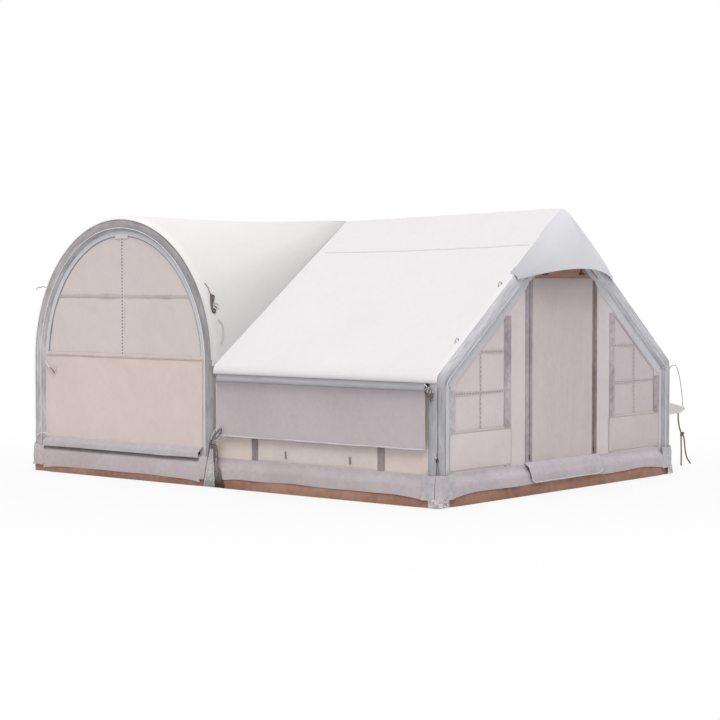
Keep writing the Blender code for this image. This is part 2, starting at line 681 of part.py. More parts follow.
def add_door(wall_face):
    band = facing((1, 0, 0), (wall_face + GAP + CLOTH / 2, 0, 0))
    shoulder = slope_line(ZIP_OUTER, BEAM_DROP)
    loop = [
        (-ZIP_OUTER, SKIRT_TOP + GAP),
        (-ZIP_INNER, SKIRT_TOP + GAP),
        (-ZIP_INNER, HEADER_BOTTOM),
        (ZIP_INNER, HEADER_BOTTOM),
        (ZIP_INNER, SKIRT_TOP + GAP),
        (ZIP_OUTER, SKIRT_TOP + GAP),
        (ZIP_OUTER, shoulder),
        (HEADER_CREST, HEADER_TOP),
        (-HEADER_CREST, HEADER_TOP),
        (-ZIP_OUTER, shoulder),
    ]
    outline("door_zip_surround", [loop], CLOTH, band, TAPE_CLOTH)
    band_face = wall_face + GAP + CLOTH
    hinge_x = band_face + LAP_GAP + CLOTH
    flat = DOOR_TOP - HEM_TOP
    panel = rectangle(-DOOR_HALF_WIDTH, DOOR_HALF_WIDTH, -flat, 0)
    place = facing((1, 0, 0), (hinge_x, 0, DOOR_TOP))
    door = as_mesh(outline("door_panel", [panel], CLOTH, place, WALL_CLOTH))
    door.data.transform(Matrix.Translation((0, 0, -CLOTH / 2)))
    skirt = X_DOOR + GAP + CLOTH - hinge_x
    hem = HEM_TOP - DOOR_TOP
    foot = SKIRT_BOTTOM - DOOR_TOP
    line = [
        (-CLOTH / 2, hem - GAP),
        (-CLOTH / 2, hem - CLOTH),
        (skirt + LAP_GAP + CLOTH / 2, hem - SKIRT_SHOULDER_DROP),
        (skirt + HEM_REACH, (hem + foot) / 2),
        (skirt + LAP_GAP + CLOTH, foot),
    ]
    loop = sheet_profile(line, CLOTH)
    place = profile_facing((1, 0, 0), (hinge_x, 0, DOOR_TOP))
    outline("door_hem_flap", [loop], 2 * HEM_HALF_WIDTH, place, SKIRT_CLOTH)
    for name, sign in (("left", -1), ("right", 1)):
        add_slider(f"door_zip_slider_{name}", band_face + GAP, sign)
        add_toggle(f"door_toggle_{name}", band_face + GAP, sign)


SLIDER_WIDTH = 0.016
SLIDER_LENGTH = 0.026
SLIDER_DEPTH = 0.008
SLIDER_OFFSET = 0.032
SLIDER_HEIGHT = 0.28
PULL_WIDTH = 0.010
PULL_LENGTH = 0.040
PULL_DEPTH = 0.003


def box(name, low, high, material, pivot=None):
    """A box between two corners, with its origin at the pivot or else in its middle."""
    low, high = Vector(low), Vector(high)
    middle = (low + high) / 2
    pivot = Vector(pivot or middle)
    size = Matrix.Diagonal((*(high - low), 1))
    shape = bmesh.new()
    bmesh.ops.create_cube(shape, size=1, matrix=Matrix.Translation(middle - pivot) @ size)
    mesh = bpy.data.meshes.new(name)
    shape.to_mesh(mesh)
    shape.free()
    return add_object(name, mesh, material, Matrix.Translation(pivot))


def add_slider(name, face, sign):
    middle = sign * (DOOR_HALF_WIDTH + SLIDER_OFFSET)
    half = SLIDER_WIDTH / 2
    body = box(
        name,
        (face, middle - half, SLIDER_HEIGHT),
        (face + SLIDER_DEPTH, middle + half, SLIDER_HEIGHT + SLIDER_LENGTH),
        ZIP_METAL,
    )
    half = PULL_WIDTH / 2
    overlap = SLIDER_DEPTH / 2
    pull = box(
        name + "_pull",
        (face + SLIDER_DEPTH - overlap, middle - half, SLIDER_HEIGHT - PULL_LENGTH + SLIDER_LENGTH),
        (face + SLIDER_DEPTH + PULL_DEPTH, middle + half, SLIDER_HEIGHT + SLIDER_LENGTH - PULL_DEPTH),
        ZIP_METAL,
    )
    join(body, pull)


TOGGLE_PLACE = 0.26
TOGGLE_STRAP_WIDTH = 0.018
TOGGLE_STRAP_LENGTH = 0.055
TOGGLE_STRAP_DEPTH = 0.003
TOGGLE_LENGTH = 0.062
TOGGLE_RADIUS = 0.009
TOGGLE_WAIST = 0.0065
TOGGLE_STEPS = 12
TOGGLE_HEADER_LAP = 0.008
TOGGLE_TOP = HEADER_TOP - TOGGLE_HEADER_LAP


def turned(name, profile, material, place, steps):
    """A solid of revolution about local Z from an outer profile that runs top to bottom."""
    shape = bmesh.new()
    verts = [shape.verts.new((radius, 0, height)) for radius, height in profile]
    for start, end in zip(verts, verts[1:]):
        shape.edges.new((start, end))
    mesh = bpy.data.meshes.new(name)
    shape.to_mesh(mesh)
    shape.free()
    item = add_object(name, mesh, material, place)
    screw = item.modifiers.new("turn", "SCREW")
    screw.steps = steps
    screw.render_steps = steps
    screw.use_merge_vertices = True
    screw.merge_threshold = MERGE_DISTANCE
    return item


def add_toggle(name, face, sign):
    """A turned toggle on a short strap that ties the rolled door."""
    middle = sign * TOGGLE_PLACE
    bottom = TOGGLE_TOP - TOGGLE_STRAP_LENGTH
    half = TOGGLE_STRAP_WIDTH / 2
    strap = box(
        name,
        (face, middle - half, bottom),
        (face + TOGGLE_STRAP_DEPTH, middle + half, TOGGLE_TOP),
        BROWN_LEATHER,
        pivot=(face + TOGGLE_STRAP_DEPTH, middle, TOGGLE_TOP),
    )
    end = TOGGLE_LENGTH / 2
    profile = [
        (0, end),
        (TOGGLE_WAIST, end),
        (TOGGLE_RADIUS, end / 2),
        (TOGGLE_WAIST, 0),
        (TOGGLE_RADIUS, -end / 2),
        (TOGGLE_WAIST, -end),
        (0, -end),
    ]
    turn = Matrix.Rotation(math.pi / 2, 4, "X")
    place = Matrix.Translation((face + TOGGLE_RADIUS, middle, bottom)) @ turn
    barrel = turned(name + "_barrel", profile, BROWN_LEATHER, place, TOGGLE_STEPS)
    join(strap, barrel)


# Both ends of the vault.
def vault_curve(inset, low, steps):
    """Points of the arch's outline at this inset, from the right foot over the top to the left."""
    half_width = ARCH_HALF_WIDTH - inset
    rise = ARCH_RISE - inset
    start = math.asin(max(low - VAULT_SPRING_HEIGHT, 0) / rise)
    points = []
    for step in range(steps + 1):
        angle = start + (math.pi - 2 * start) * step / steps
        points.append((half_width * math.cos(angle), VAULT_SPRING_HEIGHT + rise * math.sin(angle)))
    return points


def add_vault_end(side, sign):
    wall_back = Y_BEAM + WALL_FORWARD
    wall_face = wall_back + CLOTH
    out = (0, sign, 0)

    def plane(distance, height=0.0):
        return facing(out, (X_VAULT_MIDDLE, sign * distance, height))

    steps = 2 * ARCH_STEPS
    edge = ARCH_HALF_WIDTH - ROOF_RADIUS - WALL_INSET
    outside = [(-edge, FLOOR_TOP), (edge, FLOOR_TOP)]
    outside += vault_curve(ROOF_RADIUS + WALL_INSET, VAULT_SPRING_HEIGHT, steps)
    doorway = rectangle(
        -VAULT_DOORWAY_HALF_WIDTH, VAULT_DOORWAY_HALF_WIDTH, VAULT_DOORWAY_BOTTOM, VAULT_RAIL_BOTTOM
    )
    window = vault_curve(VAULT_RIM, VAULT_RAIL_TOP, steps)
    outline(f"vault_{side}_wall", [outside, doorway, window], CLOTH, plane(wall_back + CLOTH / 2), WALL_CLOTH)

    behind = wall_back - LAP_GAP - CLOTH / 2
    rail = VAULT_RAIL_TOP - WINDOW_BORDER / 2
    loop = vault_curve(VAULT_RIM - WINDOW_BORDER / 2, rail, steps)
    name = f"vault_{side}_window"
    sheet = as_mesh(outline(name, [loop], CLOTH, plane(behind), WINDOW_CLOTH))
    thickness = WINDOW_BAR_RISE + CLOTH / 2
    front = behind + thickness / 2
    rise = ARCH_RISE - VAULT_RIM
    sweep = math.sqrt(1 - ((VAULT_BAR_HEIGHT + WINDOW_BAR - VAULT_SPRING_HEIGHT) / rise) ** 2)
    reach = (ARCH_HALF_WIDTH - VAULT_RIM) * sweep - WINDOW_BAR / 2
    crown = VAULT_SPRING_HEIGHT + rise - WINDOW_BAR / 2
    level = strip((-reach, VAULT_BAR_HEIGHT), (reach, VAULT_BAR_HEIGHT), WINDOW_BAR)
    upright = strip((0, VAULT_RAIL_TOP + GAP), (0, crown), WINDOW_BAR)
    for index, loop in enumerate((level, upright)):
        bar = outline(f"{name}_bar_{index}", [loop], thickness, plane(front), WINDOW_CLOTH)
        join(sheet, as_mesh(bar))

    middle = -CLOTH / 2
    drop_flat = VAULT_DOOR_TOP - VAULT_DOOR_FLAT_BOTTOM
    drop_end = VAULT_DOOR_TOP - VAULT_DOOR_HEM_BOTTOM
    drop_mid = (drop_flat + drop_end) / 2
    line = [
        (middle, 0),
        (middle, -drop_flat),
        (middle + VAULT_DOOR_HEM_REACH / 2, -drop_flat - (drop_end - drop_flat) / 6),
        (middle + VAULT_DOOR_HEM_REACH, -drop_mid),
        (middle + VAULT_DOOR_HEM_REACH, -drop_end),
    ]
    hinge = (X_VAULT_MIDDLE, sign * (wall_face + LAP_GAP + CLOTH), VAULT_DOOR_TOP)
    place = profile_facing(out, hinge)
    outline(f"vault_{side}_door", [sheet_profile(line, CLOTH)], 2 * VAULT_DOOR_HALF_WIDTH, place, WALL_CLOTH)

    length = 2 * (ARCH_HALF_WIDTH - ROOF_RADIUS - BEAM_RADIUS - SKIRT_END_GAP)
    add_skirt(f"vault_{side}_skirt", out, wall_face, Y_SIDE, (X_VAULT_MIDDLE, 0, 0), length)


# Side walls of the hall.
def add_hall_side(side, sign):
    wall_back = Y_BEAM + WALL_FORWARD
    wall_face = wall_back + CLOTH
    out = (0, sign, 0)
    turned_left = -sign
    left = X_SEAM + WALL_INSET - ROOF_RADIUS
    right = X_GABLE_BEAM - WALL_INSET
    top = EAVE_BEAM_HEIGHT - WALL_INSET

    def span(first, last, bottom, top):
        """A rectangle between two places along X, in the axes of facing(out)."""
        low, high = sorted((turned_left * first, turned_left * last))
        return rectangle(low, high, bottom, top)

    wall = span(left, right, FLOOR_TOP, top)
    window = span(SIDE_WINDOW_LEFT, SIDE_WINDOW_RIGHT, SIDE_WINDOW_BOTTOM, SIDE_WINDOW_TOP)
    plane = facing(out, (0, sign * (wall_back + CLOTH / 2), 0))
    outline(f"{side}_side_wall", [wall, window], CLOTH, plane, WALL_CLOTH)

    loop = span(
        SIDE_WINDOW_LEFT - WINDOW_BORDER,
        SIDE_WINDOW_RIGHT + WINDOW_BORDER,
        SIDE_WINDOW_BOTTOM - WINDOW_BORDER,
        SIDE_WINDOW_TOP + WINDOW_BORDER,
    )
    plane = facing(out, (0, sign * (wall_back - LAP_GAP - CLOTH / 2), 0))
    outline(f"{side}_side_window", [loop], CLOTH, plane, WINDOW_CLOTH)

    middle = (SIDE_FLAP_LEFT + SIDE_FLAP_RIGHT) / 2
    hinge_height = ROOF_HEM_HEIGHT - GAP
    hinge_y = sign * (Y_BEAM + ROOF_RADIUS)
    cloth_grid(
        f"{side}_side_flap",
        SIDE_FLAP_RIGHT - SIDE_FLAP_LEFT,
        hinge_height - SIDE_FLAP_BOTTOM,
        2 * SIDE_FLAP_FOLDS,
        5,
        facing(out, (middle, hinge_y, hinge_height)),
        FLAP_CLOTH,
        lambda across, down: SIDE_FLAP_BOW * math.sin(math.pi * across) * down
        + SIDE_FLAP_FOLD_DEPTH * (1 - math.cos(2 * math.pi * SIDE_FLAP_FOLDS * across)) * down,
    )
    right_end = X_GABLE_BEAM - BEAM_RADIUS - SKIRT_END_GAP
    left_end = X_SEAM + SKIRT_END_GAP
    centre = ((left_end + right_end) / 2, 0, 0)
    add_skirt(f"{side}_side_skirt", out, wall_face, Y_SIDE, centre, right_end - left_end)


def add_flank_skirt():
    """The skirt along the vault's blind side, where the canopy itself is the wall."""
    length = 2 * (Y_BEAM - BEAM_RADIUS - SKIRT_END_GAP)
    face = -X_VAULT_LEFT
    add_skirt("flank_skirt", (-1, 0, 0), face, -X_FLANK, (0, 0, 0), length)


# Inflation valve on the rear post of the gable beam.
VALVE_HEIGHT = 0.42
VALVE_FLANGE_RADIUS = 0.030
VALVE_FLANGE_DEPTH = 0.004
VALVE_NECK_RADIUS = 0.021
VALVE_NECK_DEPTH = 0.016
VALVE_BORE_RADIUS = 0.014
VALVE_BORE_DEPTH = 0.012
VALVE_CAP_RADIUS = 0.024
VALVE_CAP_DEPTH = 0.007
VALVE_STEPS = 24


def add_valve():
    seat = Y_BEAM + BEAM_RADIUS + GAP / 2
    turn = Matrix.Rotation(-math.pi / 2, 4, "X")
    place = Matrix.Translation((X_GABLE_BEAM, seat, VALVE_HEIGHT)) @ turn
    profile = [
        (0, VALVE_NECK_DEPTH - VALVE_BORE_DEPTH),
        (VALVE_BORE_RADIUS, VALVE_NECK_DEPTH - VALVE_BORE_DEPTH),
        (VALVE_BORE_RADIUS, VALVE_NECK_DEPTH),
        (VALVE_NECK_RADIUS, VALVE_NECK_DEPTH),
        (VALVE_NECK_RADIUS, VALVE_FLANGE_DEPTH),
        (VALVE_FLANGE_RADIUS, VALVE_FLANGE_DEPTH),
        (VALVE_FLANGE_RADIUS, 0),
        (0, 0),
    ]
    turned("inflation_valve", profile, VALVE_PLASTIC, place, VALVE_STEPS)
    top = VALVE_NECK_DEPTH + GAP
    profile = [
        (0, VALVE_CAP_DEPTH),
        (VALVE_CAP_RADIUS - VALVE_CAP_DEPTH / 3, VALVE_CAP_DEPTH),
        (VALVE_CAP_RADIUS, 2 * VALVE_CAP_DEPTH / 3),
        (VALVE_CAP_RADIUS, 0),
        (0, 0),
    ]
    lid = place @ Matrix.Translation((0, 0, top))
    turned("inflation_valve_cap", profile, VALVE_PLASTIC, lid, VALVE_STEPS)


# Free cords and straps: at the foot of the seam, down the near corner post and at the far corner.
# A route's points are (along X from the seam or the gable beam, out from the post's axis, Z).
TIE_CORD_RADIUS = 0.0025
STRAP_RADIUS = 0.006
SEAM_TIE_ROUTE = [
    (-0.1150, 0.0724, 0.020),
    (-0.1000, 0.0735, 0.070),
    (-0.0810, 0.0745, 0.150),
    (-0.0640, 0.0730, 0.230),
    (-0.0500, 0.0680, 0.310),
    (-0.0440, 0.0645, 0.352),
    (-0.0370, 0.0630, 0.366),
    (-0.0290, 0.0640, 0.352),
    (-0.0160, 0.0695, 0.310),
    (0.0060, 0.0780, 0.240),
    (0.0300, 0.0795, 0.170),
    (0.0490, 0.0795, 0.110),
    (0.0630, 0.0780, 0.058),
    (0.0700, 0.0724, 0.020),
]
SEAM_TIE_STEPS = 4
CORNER_TIE_ROUTE = [
    (0.0422, 0.0506, 0.870),
    (0.0422, 0.0506, 0.760),
    (0.0423, 0.0507, 0.650),
    (0.0422, 0.0506, 0.540),
    (0.0424, 0.0511, 0.430),
    (0.0415, 0.0550, 0.340),
    (0.0390, 0.0635, 0.250),
    (0.0350, 0.0720, 0.180),
    (0.0320, 0.0730, 0.110),
    (0.0300, 0.0725, 0.060),
    (0.0280, 0.0724, 0.020),
]
CORNER_TIE_STEPS = 6
FAR_CORD_ROUTE = [
    (0.0345, 0.0577, 0.880),
    (0.0380, 0.0765, 0.903),
    (0.0440, 0.1125, 0.918),
    (0.0490, 0.1525, 0.905),
    (0.0500, 0.1875, 0.860),
    (0.0502, 0.2175, 0.790),
    (0.0502, 0.2425, 0.700),
    (0.0502, 0.2595, 0.620),
    (0.0502, 0.2644, 0.5563),
]
FAR_CORD_STEPS = 4
FAR_STRAP_ROUTE = [
    (0.0502, 0.1905, 0.5049),
    (0.0502, 0.1925, 0.460),
    (0.0502, 0.2005, 0.420),
    (0.0502, 0.2145, 0.380),
    (0.0502, 0.2404, 0.3366),
]
FAR_STRAP_STEPS = 3
FAR_TAIL_ROUTE = [
    (0.0450, 0.2525, 0.2997),
    (0.0440, 0.2555, 0.250),
    (0.0430, 0.2595, 0.190),
    (0.0420, 0.2625, 0.120),
    (0.0400, 0.2635, 0.050),
]
FAR_FORK_ROUTE = [
    (0.0589, 0.2729, 0.3028),
    (0.0610, 0.2825, 0.250),
    (0.0600, 0.2945, 0.190),
    (0.0580, 0.3295, 0.115),
    (0.0560, 0.3945, 0.060),
]
FAR_TAIL_STEPS = 3
FAR_KNOT_HALF = (0.017, 0.026, 0.021)
FAR_KNOT_MIDDLE = (0.0515, 0.2575, 0.3205)
KNOT_SEGMENTS = 12
FAR_TAB_OUT = 0.0502
FAR_TAB_ROOT_TOP = 0.60
FAR_TAB_ROOT_BOTTOM = 0.50
FAR_TAB_TIP = (0.3145, 0.54)
FAR_TAB_TOP_MIDDLE = (0.2245, 0.567)
FAR_TAB_BOTTOM_MIDDLE = (0.2345, 0.507)


def smooth_route(route, post, steps):
    """A Catmull-Rom curve through the route's own points, which are taken from a post (X, side)."""
    along, side = post
    points = [Vector((along + x, side * (Y_BEAM + out), z)) for x, out, z in route]
    padded = [2 * points[0] - points[1], *points, 2 * points[-1] - points[-2]]
    path = []
    for p0, p1, p2, p3 in zip(padded, padded[1:], padded[2:], padded[3:]):
        for step in range(steps):
            t = step / steps
            swing = (p2 - p0) * t + (2 * p0 - 5 * p1 + 4 * p2 - p3) * t**2
            path.append(p1 + (swing + (3 * p1 - p0 - 3 * p2 + p3) * t**3) / 2)
    path.append(points[-1])
    return path


def tie(name, route, post, steps, radius, material):
    tube(name, smooth_route(route, post, steps), radius, material, CORD_BEVEL_RESOLUTION)


def add_ties():
    seam = (X_SEAM, SIDES["front"])
    corner = (X_GABLE_BEAM, SIDES["front"])
    tie("seam_tie_cord", SEAM_TIE_ROUTE, seam, SEAM_TIE_STEPS, TIE_CORD_RADIUS, DARK_CORD)
    tie("corner_tie_cord", CORNER_TIE_ROUTE, corner, CORNER_TIE_STEPS, TIE_CORD_RADIUS, DARK_CORD)


def add_far_corner():
    """A cloth tab on the far corner post with its cord, and a knotted strap with two tails."""
    corner = (X_GABLE_BEAM, SIDES["rear"])
    tie("far_corner_cord", FAR_CORD_ROUTE, corner, FAR_CORD_STEPS, TIE_CORD_RADIUS, DARK_CORD)
    tie("far_corner_strap", FAR_STRAP_ROUTE, corner, FAR_STRAP_STEPS, STRAP_RADIUS, BROWN_WEBBING)
    tie("far_corner_tail", FAR_TAIL_ROUTE, corner, FAR_TAIL_STEPS, STRAP_RADIUS, BROWN_WEBBING)
    tie("far_corner_fork", FAR_FORK_ROUTE, corner, FAR_TAIL_STEPS, STRAP_RADIUS, BROWN_WEBBING)
    root = sleeve_reach(FAR_TAB_OUT - CLOTH / 2) + GAP
    loop = [
        (root, FAR_TAB_ROOT_BOTTOM),
        FAR_TAB_BOTTOM_MIDDLE,
        FAR_TAB_TIP,
        FAR_TAB_TOP_MIDDLE,
        (root, FAR_TAB_ROOT_TOP),
    ]
    place = facing((1, 0, 0), (X_GABLE_BEAM + FAR_TAB_OUT, Y_BEAM, 0))
    outline("far_corner_tab", [loop], CLOTH, place, SLEEVE_CLOTH)
    shape = bmesh.new()
    bmesh.ops.create_uvsphere(
        shape,
        u_segments=KNOT_SEGMENTS,
        v_segments=KNOT_SEGMENTS // 2,
        radius=1,
        matrix=Matrix.Diagonal((*FAR_KNOT_HALF, 1)),
    )
    mesh = bpy.data.meshes.new("far_corner_knot")
    shape.to_mesh(mesh)
    shape.free()
    along, out, height = FAR_KNOT_MIDDLE
    middle = Matrix.Translation((X_GABLE_BEAM + along, Y_BEAM + out, height))
    knot = add_object("far_corner_knot", mesh, BROWN_WEBBING, middle)
    smooth(knot, math.radians(60))


add_air_beams()
add_hall_roof()
add_vault_canopy()
add_groundsheet()
add_gable_end()
for side_name, side_sign in SIDES.items():
    add_vault_end(side_name, side_sign)
    add_hall_side(side_name, side_sign)
add_flank_skirt()
add_valve()
add_ties()
add_far_corner()
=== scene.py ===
import bisect
from math import acos, atan2, copysign, cos, exp, hypot, pi, radians, sin, sqrt, tan, tau

import bmesh
import bpy
from mathutils import Matrix, Vector, noise


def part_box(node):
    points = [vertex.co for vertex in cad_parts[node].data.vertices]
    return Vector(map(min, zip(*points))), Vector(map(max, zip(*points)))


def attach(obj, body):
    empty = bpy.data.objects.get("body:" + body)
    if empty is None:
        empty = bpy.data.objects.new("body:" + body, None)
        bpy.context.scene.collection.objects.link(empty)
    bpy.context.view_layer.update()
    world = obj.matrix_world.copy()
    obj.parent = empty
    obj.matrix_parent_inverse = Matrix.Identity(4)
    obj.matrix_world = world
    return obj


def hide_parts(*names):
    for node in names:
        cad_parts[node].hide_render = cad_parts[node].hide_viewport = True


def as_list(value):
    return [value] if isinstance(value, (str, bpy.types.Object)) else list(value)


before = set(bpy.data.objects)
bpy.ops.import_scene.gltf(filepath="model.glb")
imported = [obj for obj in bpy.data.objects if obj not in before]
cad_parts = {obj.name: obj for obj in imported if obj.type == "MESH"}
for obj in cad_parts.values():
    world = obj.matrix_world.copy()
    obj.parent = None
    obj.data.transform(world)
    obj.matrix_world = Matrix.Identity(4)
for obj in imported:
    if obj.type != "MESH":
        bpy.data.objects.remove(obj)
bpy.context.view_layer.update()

# The view: the tent stands on a plain white floor, seen from off its near door corner at chest
# height through a long lens, so that its upright lines stay upright.
CAMERA_PLACE = (10.4325, -12.4392, 1.6546)
CAMERA_AIM = (-0.63777, 0.76903, -0.04295)
camera = bpy.data.objects.new("camera", bpy.data.cameras.new("camera"))
camera.data.lens = 94.98
camera.data.sensor_width = 36.0
camera.location = CAMERA_PLACE
camera.rotation_euler = Vector(CAMERA_AIM).to_track_quat("-Z", "Y").to_euler()
bpy.context.scene.collection.objects.link(camera)
bpy.context.scene.camera = camera
bpy.context.scene.view_settings.view_transform = "Standard"

# Groundsheet: one sheet of brown coated cloth, whose edges turn up outside the beams' feet to keep
# water out. Its corners are rounded where they are folded and sewn.
CLOTH = 0.0015
THREAD_PITCH = 0.0024
SOIL = (118, 92, 76)
FLOOR_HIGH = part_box("groundsheet")[1]
CORNER_ROUND = 0.05
EDGE_SWELL = 0.006
FOOT_REACH, FOOT_RECESS = 0.22, 0.0045
FLOOR_SEAM = -0.095
finishes = {}


def plug(tree, node, inputs):
    """Sets a node's inputs to values or to threads."""
    for key, value in inputs.items():
        if isinstance(value, Thread):
            tree.links.new(value.socket, node.inputs[key])
        else:
            node.inputs[key].default_value = value


class Thread:
    """A value in a finish's node tree: sums on it add Math nodes, and draw() adds any other node."""

    def __init__(self, tree, socket=None):
        self.tree = tree
        self.socket = socket

    def draw(self, kind, settings, inputs, output=0):
        node = self.tree.nodes.new(kind)
        for key, value in settings.items():
            setattr(node, key, value)
        plug(self.tree, node, inputs)
        return Thread(self.tree, node.outputs[output])

    def sum(self, operation, first, second):
        return self.draw("ShaderNodeMath", {"operation": operation}, {0: first, 1: second})

    def __add__(self, other):
        return self.sum("ADD", self, other)

    def __mul__(self, other):
        return self.sum("MULTIPLY", self, other)

    def __sub__(self, other):
        return self.sum("SUBTRACT", self, other)

    def __rsub__(self, other):
        return self.sum("SUBTRACT", other, self)

    __radd__ = __add__
    __rmul__ = __mul__

    def part(self, place, axis):
        return self.draw("ShaderNodeSeparateXYZ", {}, {"Vector": place}, axis)

    def noise(self, place, scale, detail, stretch=(1, 1, 1)):
        """Cloudy noise over a place, drawn out along an axis where stretch is under 1."""
        moved = self.draw("ShaderNodeMapping", {}, {"Vector": place, "Scale": stretch})
        inputs = {"Vector": moved, "Scale": scale, "Detail": detail, "Roughness": 0.6}
        return self.draw("ShaderNodeTexNoise", {}, inputs)

    def ramp(self, value, *stops):
        """Grey levels between stops of (value, level)."""
        ramp = self.draw("ShaderNodeValToRGB", {}, {"Fac": value})
        elements = ramp.socket.node.color_ramp.elements
        for index, (place, shade) in enumerate(stops):
            stop = elements[index] if index < 2 else elements.new(place)
            stop.position = place
            stop.color = (shade, shade, shade, 1)
        return ramp

    def mix(self, factor, first, second, blend="MIX"):
        settings = {"data_type": "RGBA", "blend_type": blend}
        return self.draw("ShaderNodeMix", settings, {0: factor, 6: first, 7: second}, output=2)

    def weave(self, uv, pitch, axis):
        """Bands of this pitch across an axis of the flat cloth."""
        return self.draw("ShaderNodeTexWave", {"bands_direction": axis}, {"Vector": uv, "Scale": 0.314 / pitch}, "Fac")

    def bump(self, height, distance, strength, below=None):
        inputs = {"Height": height, "Distance": distance, "Strength": strength}
        return self.draw("ShaderNodeBump", {}, {**inputs, "Normal": below} if below else inputs)


def paint(colour):
    """A colour in linear light from its screen values of 0 to 255."""
    return (*[((value / 255 + 0.055) / 1.055) ** 2.4 for value in colour], 1.0)


def new_finish(name):
    """A new finish, its tree and shader, a thread to draw with, and the place on the piece."""
    material = bpy.data.materials.new(name)
    material.use_nodes = True
    tree = material.node_tree
    start = Thread(tree)
    return material, tree, tree.nodes["Principled BSDF"], start, start.draw("ShaderNodeTexCoord", {}, {}, "Object")


def cloth_finish(name, colour, shade, mottle=0.6, crease=0.004, scale=9, soil=0.0, run=None, painted_shade=None, stitch=None):
    """Woven, coated cloth: fine threads, soft creases, uneven shade, and soil near the ground.

    run draws creases out along the cloth, tone is painted shade that darkens it along an axis, stitch is a row of
    thread."""
    material, tree, shader, start, place = new_finish(name)
    uv = start.draw("ShaderNodeTexCoord", {}, {}, "UV")
    cloud = start.noise(uv, 22, 3, run) if run else start.noise(place, 1.6, 3)
    fleck = start.noise(uv, 64, 4, run) if run else start.noise(place, 22, 5)
    folds = start.noise(uv, scale * 2, 4, run) if run else start.noise(place, scale, 4, (1, 1, 0.6))
    uneven = start.ramp(cloud * 0.6 + fleck * 0.4, (0.38, 0), (0.62, 1)) * mottle
    base = start.mix(uneven, paint(colour), paint(shade))
    # Painted shade: the stops darken the colour along one axis of the piece.
    if painted_shade:
        axis, first, last, *stops = painted_shade
        level = start.draw("ShaderNodeMapRange", {}, {0: start.part(place, axis), 1: first, 2: last})
        base = start.mix(1.0, base, start.ramp(level, *stops), "MULTIPLY")
    if stitch:
        pitch, width, thread = stitch
        row = start.ramp(start.part(uv, "Y") * (1 / width), (0.22, 0), (0.34, 1), (0.66, 1), (0.78, 0))
        base = start.mix(row * start.weave(uv, pitch, "X"), base, paint(thread))
    if soil:
        height = start.part(place, "Z") + start.noise(place, 7, 6) * 0.22 - 0.11
        base = start.mix(start.ramp(height, (0.0, 1), (0.3, 0)) * soil, base, paint(SOIL))
    threads = start.weave(uv, THREAD_PITCH, "X") * start.weave(uv, THREAD_PITCH, "Y")
    normal = start.bump(threads, 0.00025, 0.5, start.bump(folds, crease, 1.0))
    wear = start.ramp(fleck, (0.3, 0.74), (0.7, 0.88))
    plug(tree, shader, {"Base Color": base, "Roughness": wear, "Normal": normal})
    plug(tree, shader, {"Sheen Weight": 0.1, "Specular IOR Level": 0.25})
    finishes[name] = material


def ripple(x, y, z):
    """Smooth noise of about -1 to 1."""
    return noise.noise(Vector((x, y, z)))


def steps(spacing, *marks):
    """Values about this far apart, which pass through all the marks."""
    values = [marks[0]]
    for start, end in zip(marks, marks[1:]):
        count = max(1, round(abs(end - start) / spacing))
        values += [start + (end - start) * step / count for step in range(1, count + 1)]
    return values


def edit_cloth(cloth, change):
    shape = bmesh.new()
    shape.from_mesh(cloth.data)
    change(shape)
    shape.to_mesh(cloth.data)
    shape.free()
    cloth.data.update()


def lay_cloth(name, across, up, place, relief=None, closed=False):
    """Lays out a cloth as a grid through the values across and up, whose points place() gives.

    relief() lifts each point along its normal. The UV map is the flat cloth in metres."""
    columns, rows = len(across) - 1, len(up) - 1
    bpy.ops.mesh.primitive_grid_add(x_subdivisions=columns, y_subdivisions=rows, size=1)
    cloth = bpy.context.object
    mesh = cloth.data
    cloth.name = mesh.name = name
    lines = [(round((vert.co.x + 0.5) * columns), round((vert.co.y + 0.5) * rows)) for vert in mesh.vertices]
    for vert, (column, row) in zip(mesh.vertices, lines):
        vert.co = place(across[column], up[row])
    middle = across[columns // 2], up[rows // 2]
    wide, tall = [0.0], [0.0]
    for start, end in zip(across, across[1:]):
        wide.append(wide[-1] + (place(end, middle[1]) - place(start, middle[1])).length)
    for start, end in zip(up, up[1:]):
        tall.append(tall[-1] + (place(middle[0], end) - place(middle[0], start)).length)
    layer = mesh.uv_layers.active.data
    for loop in mesh.loops:
        column, row = lines[loop.vertex_index]
        layer[loop.index].uv = (wide[column], tall[row])
    if relief:
        mesh.update()
        normals = [vert.normal.copy() for vert in mesh.vertices]
        for vert, normal, (column, row) in zip(mesh.vertices, normals, lines):
            vert.co += normal * relief(across[column], up[row], vert.co.copy())
    if closed:
        edit_cloth(cloth, lambda shape: bmesh.ops.remove_doubles(shape, verts=shape.verts, dist=0.00005))
    return cloth


def sew(cloth, finish, slot, *nodes, body="tent", thickness=CLOTH):
    """Gives a laid-out cloth its thickness and finish, and fixes it to a body of the frame."""
    bpy.ops.object.select_all(action="DESELECT")
    cloth.select_set(True)
    bpy.context.view_layer.objects.active = cloth
    solidify = cloth.modifiers.new("thickness", "SOLIDIFY")
    solidify.thickness = thickness
    solidify.offset = -1
    bpy.ops.object.modifier_apply(modifier="thickness")
    bpy.ops.object.shade_smooth_by_angle(angle=radians(50))
    cloth.data.materials.clear()
    cloth.data.materials.append(finishes[finish])
    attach(cloth, body)
    if nodes:
        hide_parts(*nodes)
    return cloth


def cover(cloth, finish, slot, held, rests_on, *nodes, body="tent", with_pieces=()):
    """Sews a cloth on. It works out the size that the cloth was cut to, as its flat UV map has it, but does not use
    it.
    """
    places = [corner.uv for corner in cloth.data.uv_layers.active.data]
    wide, tall = [max(place[axis] for place in places) - min(place[axis] for place in places) for axis in (0, 1)]
    area = min(sum(face.area for face in cloth.data.polygons), wide * tall)
    sew(cloth, finish, slot, *nodes, body=body)
    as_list(with_pieces)


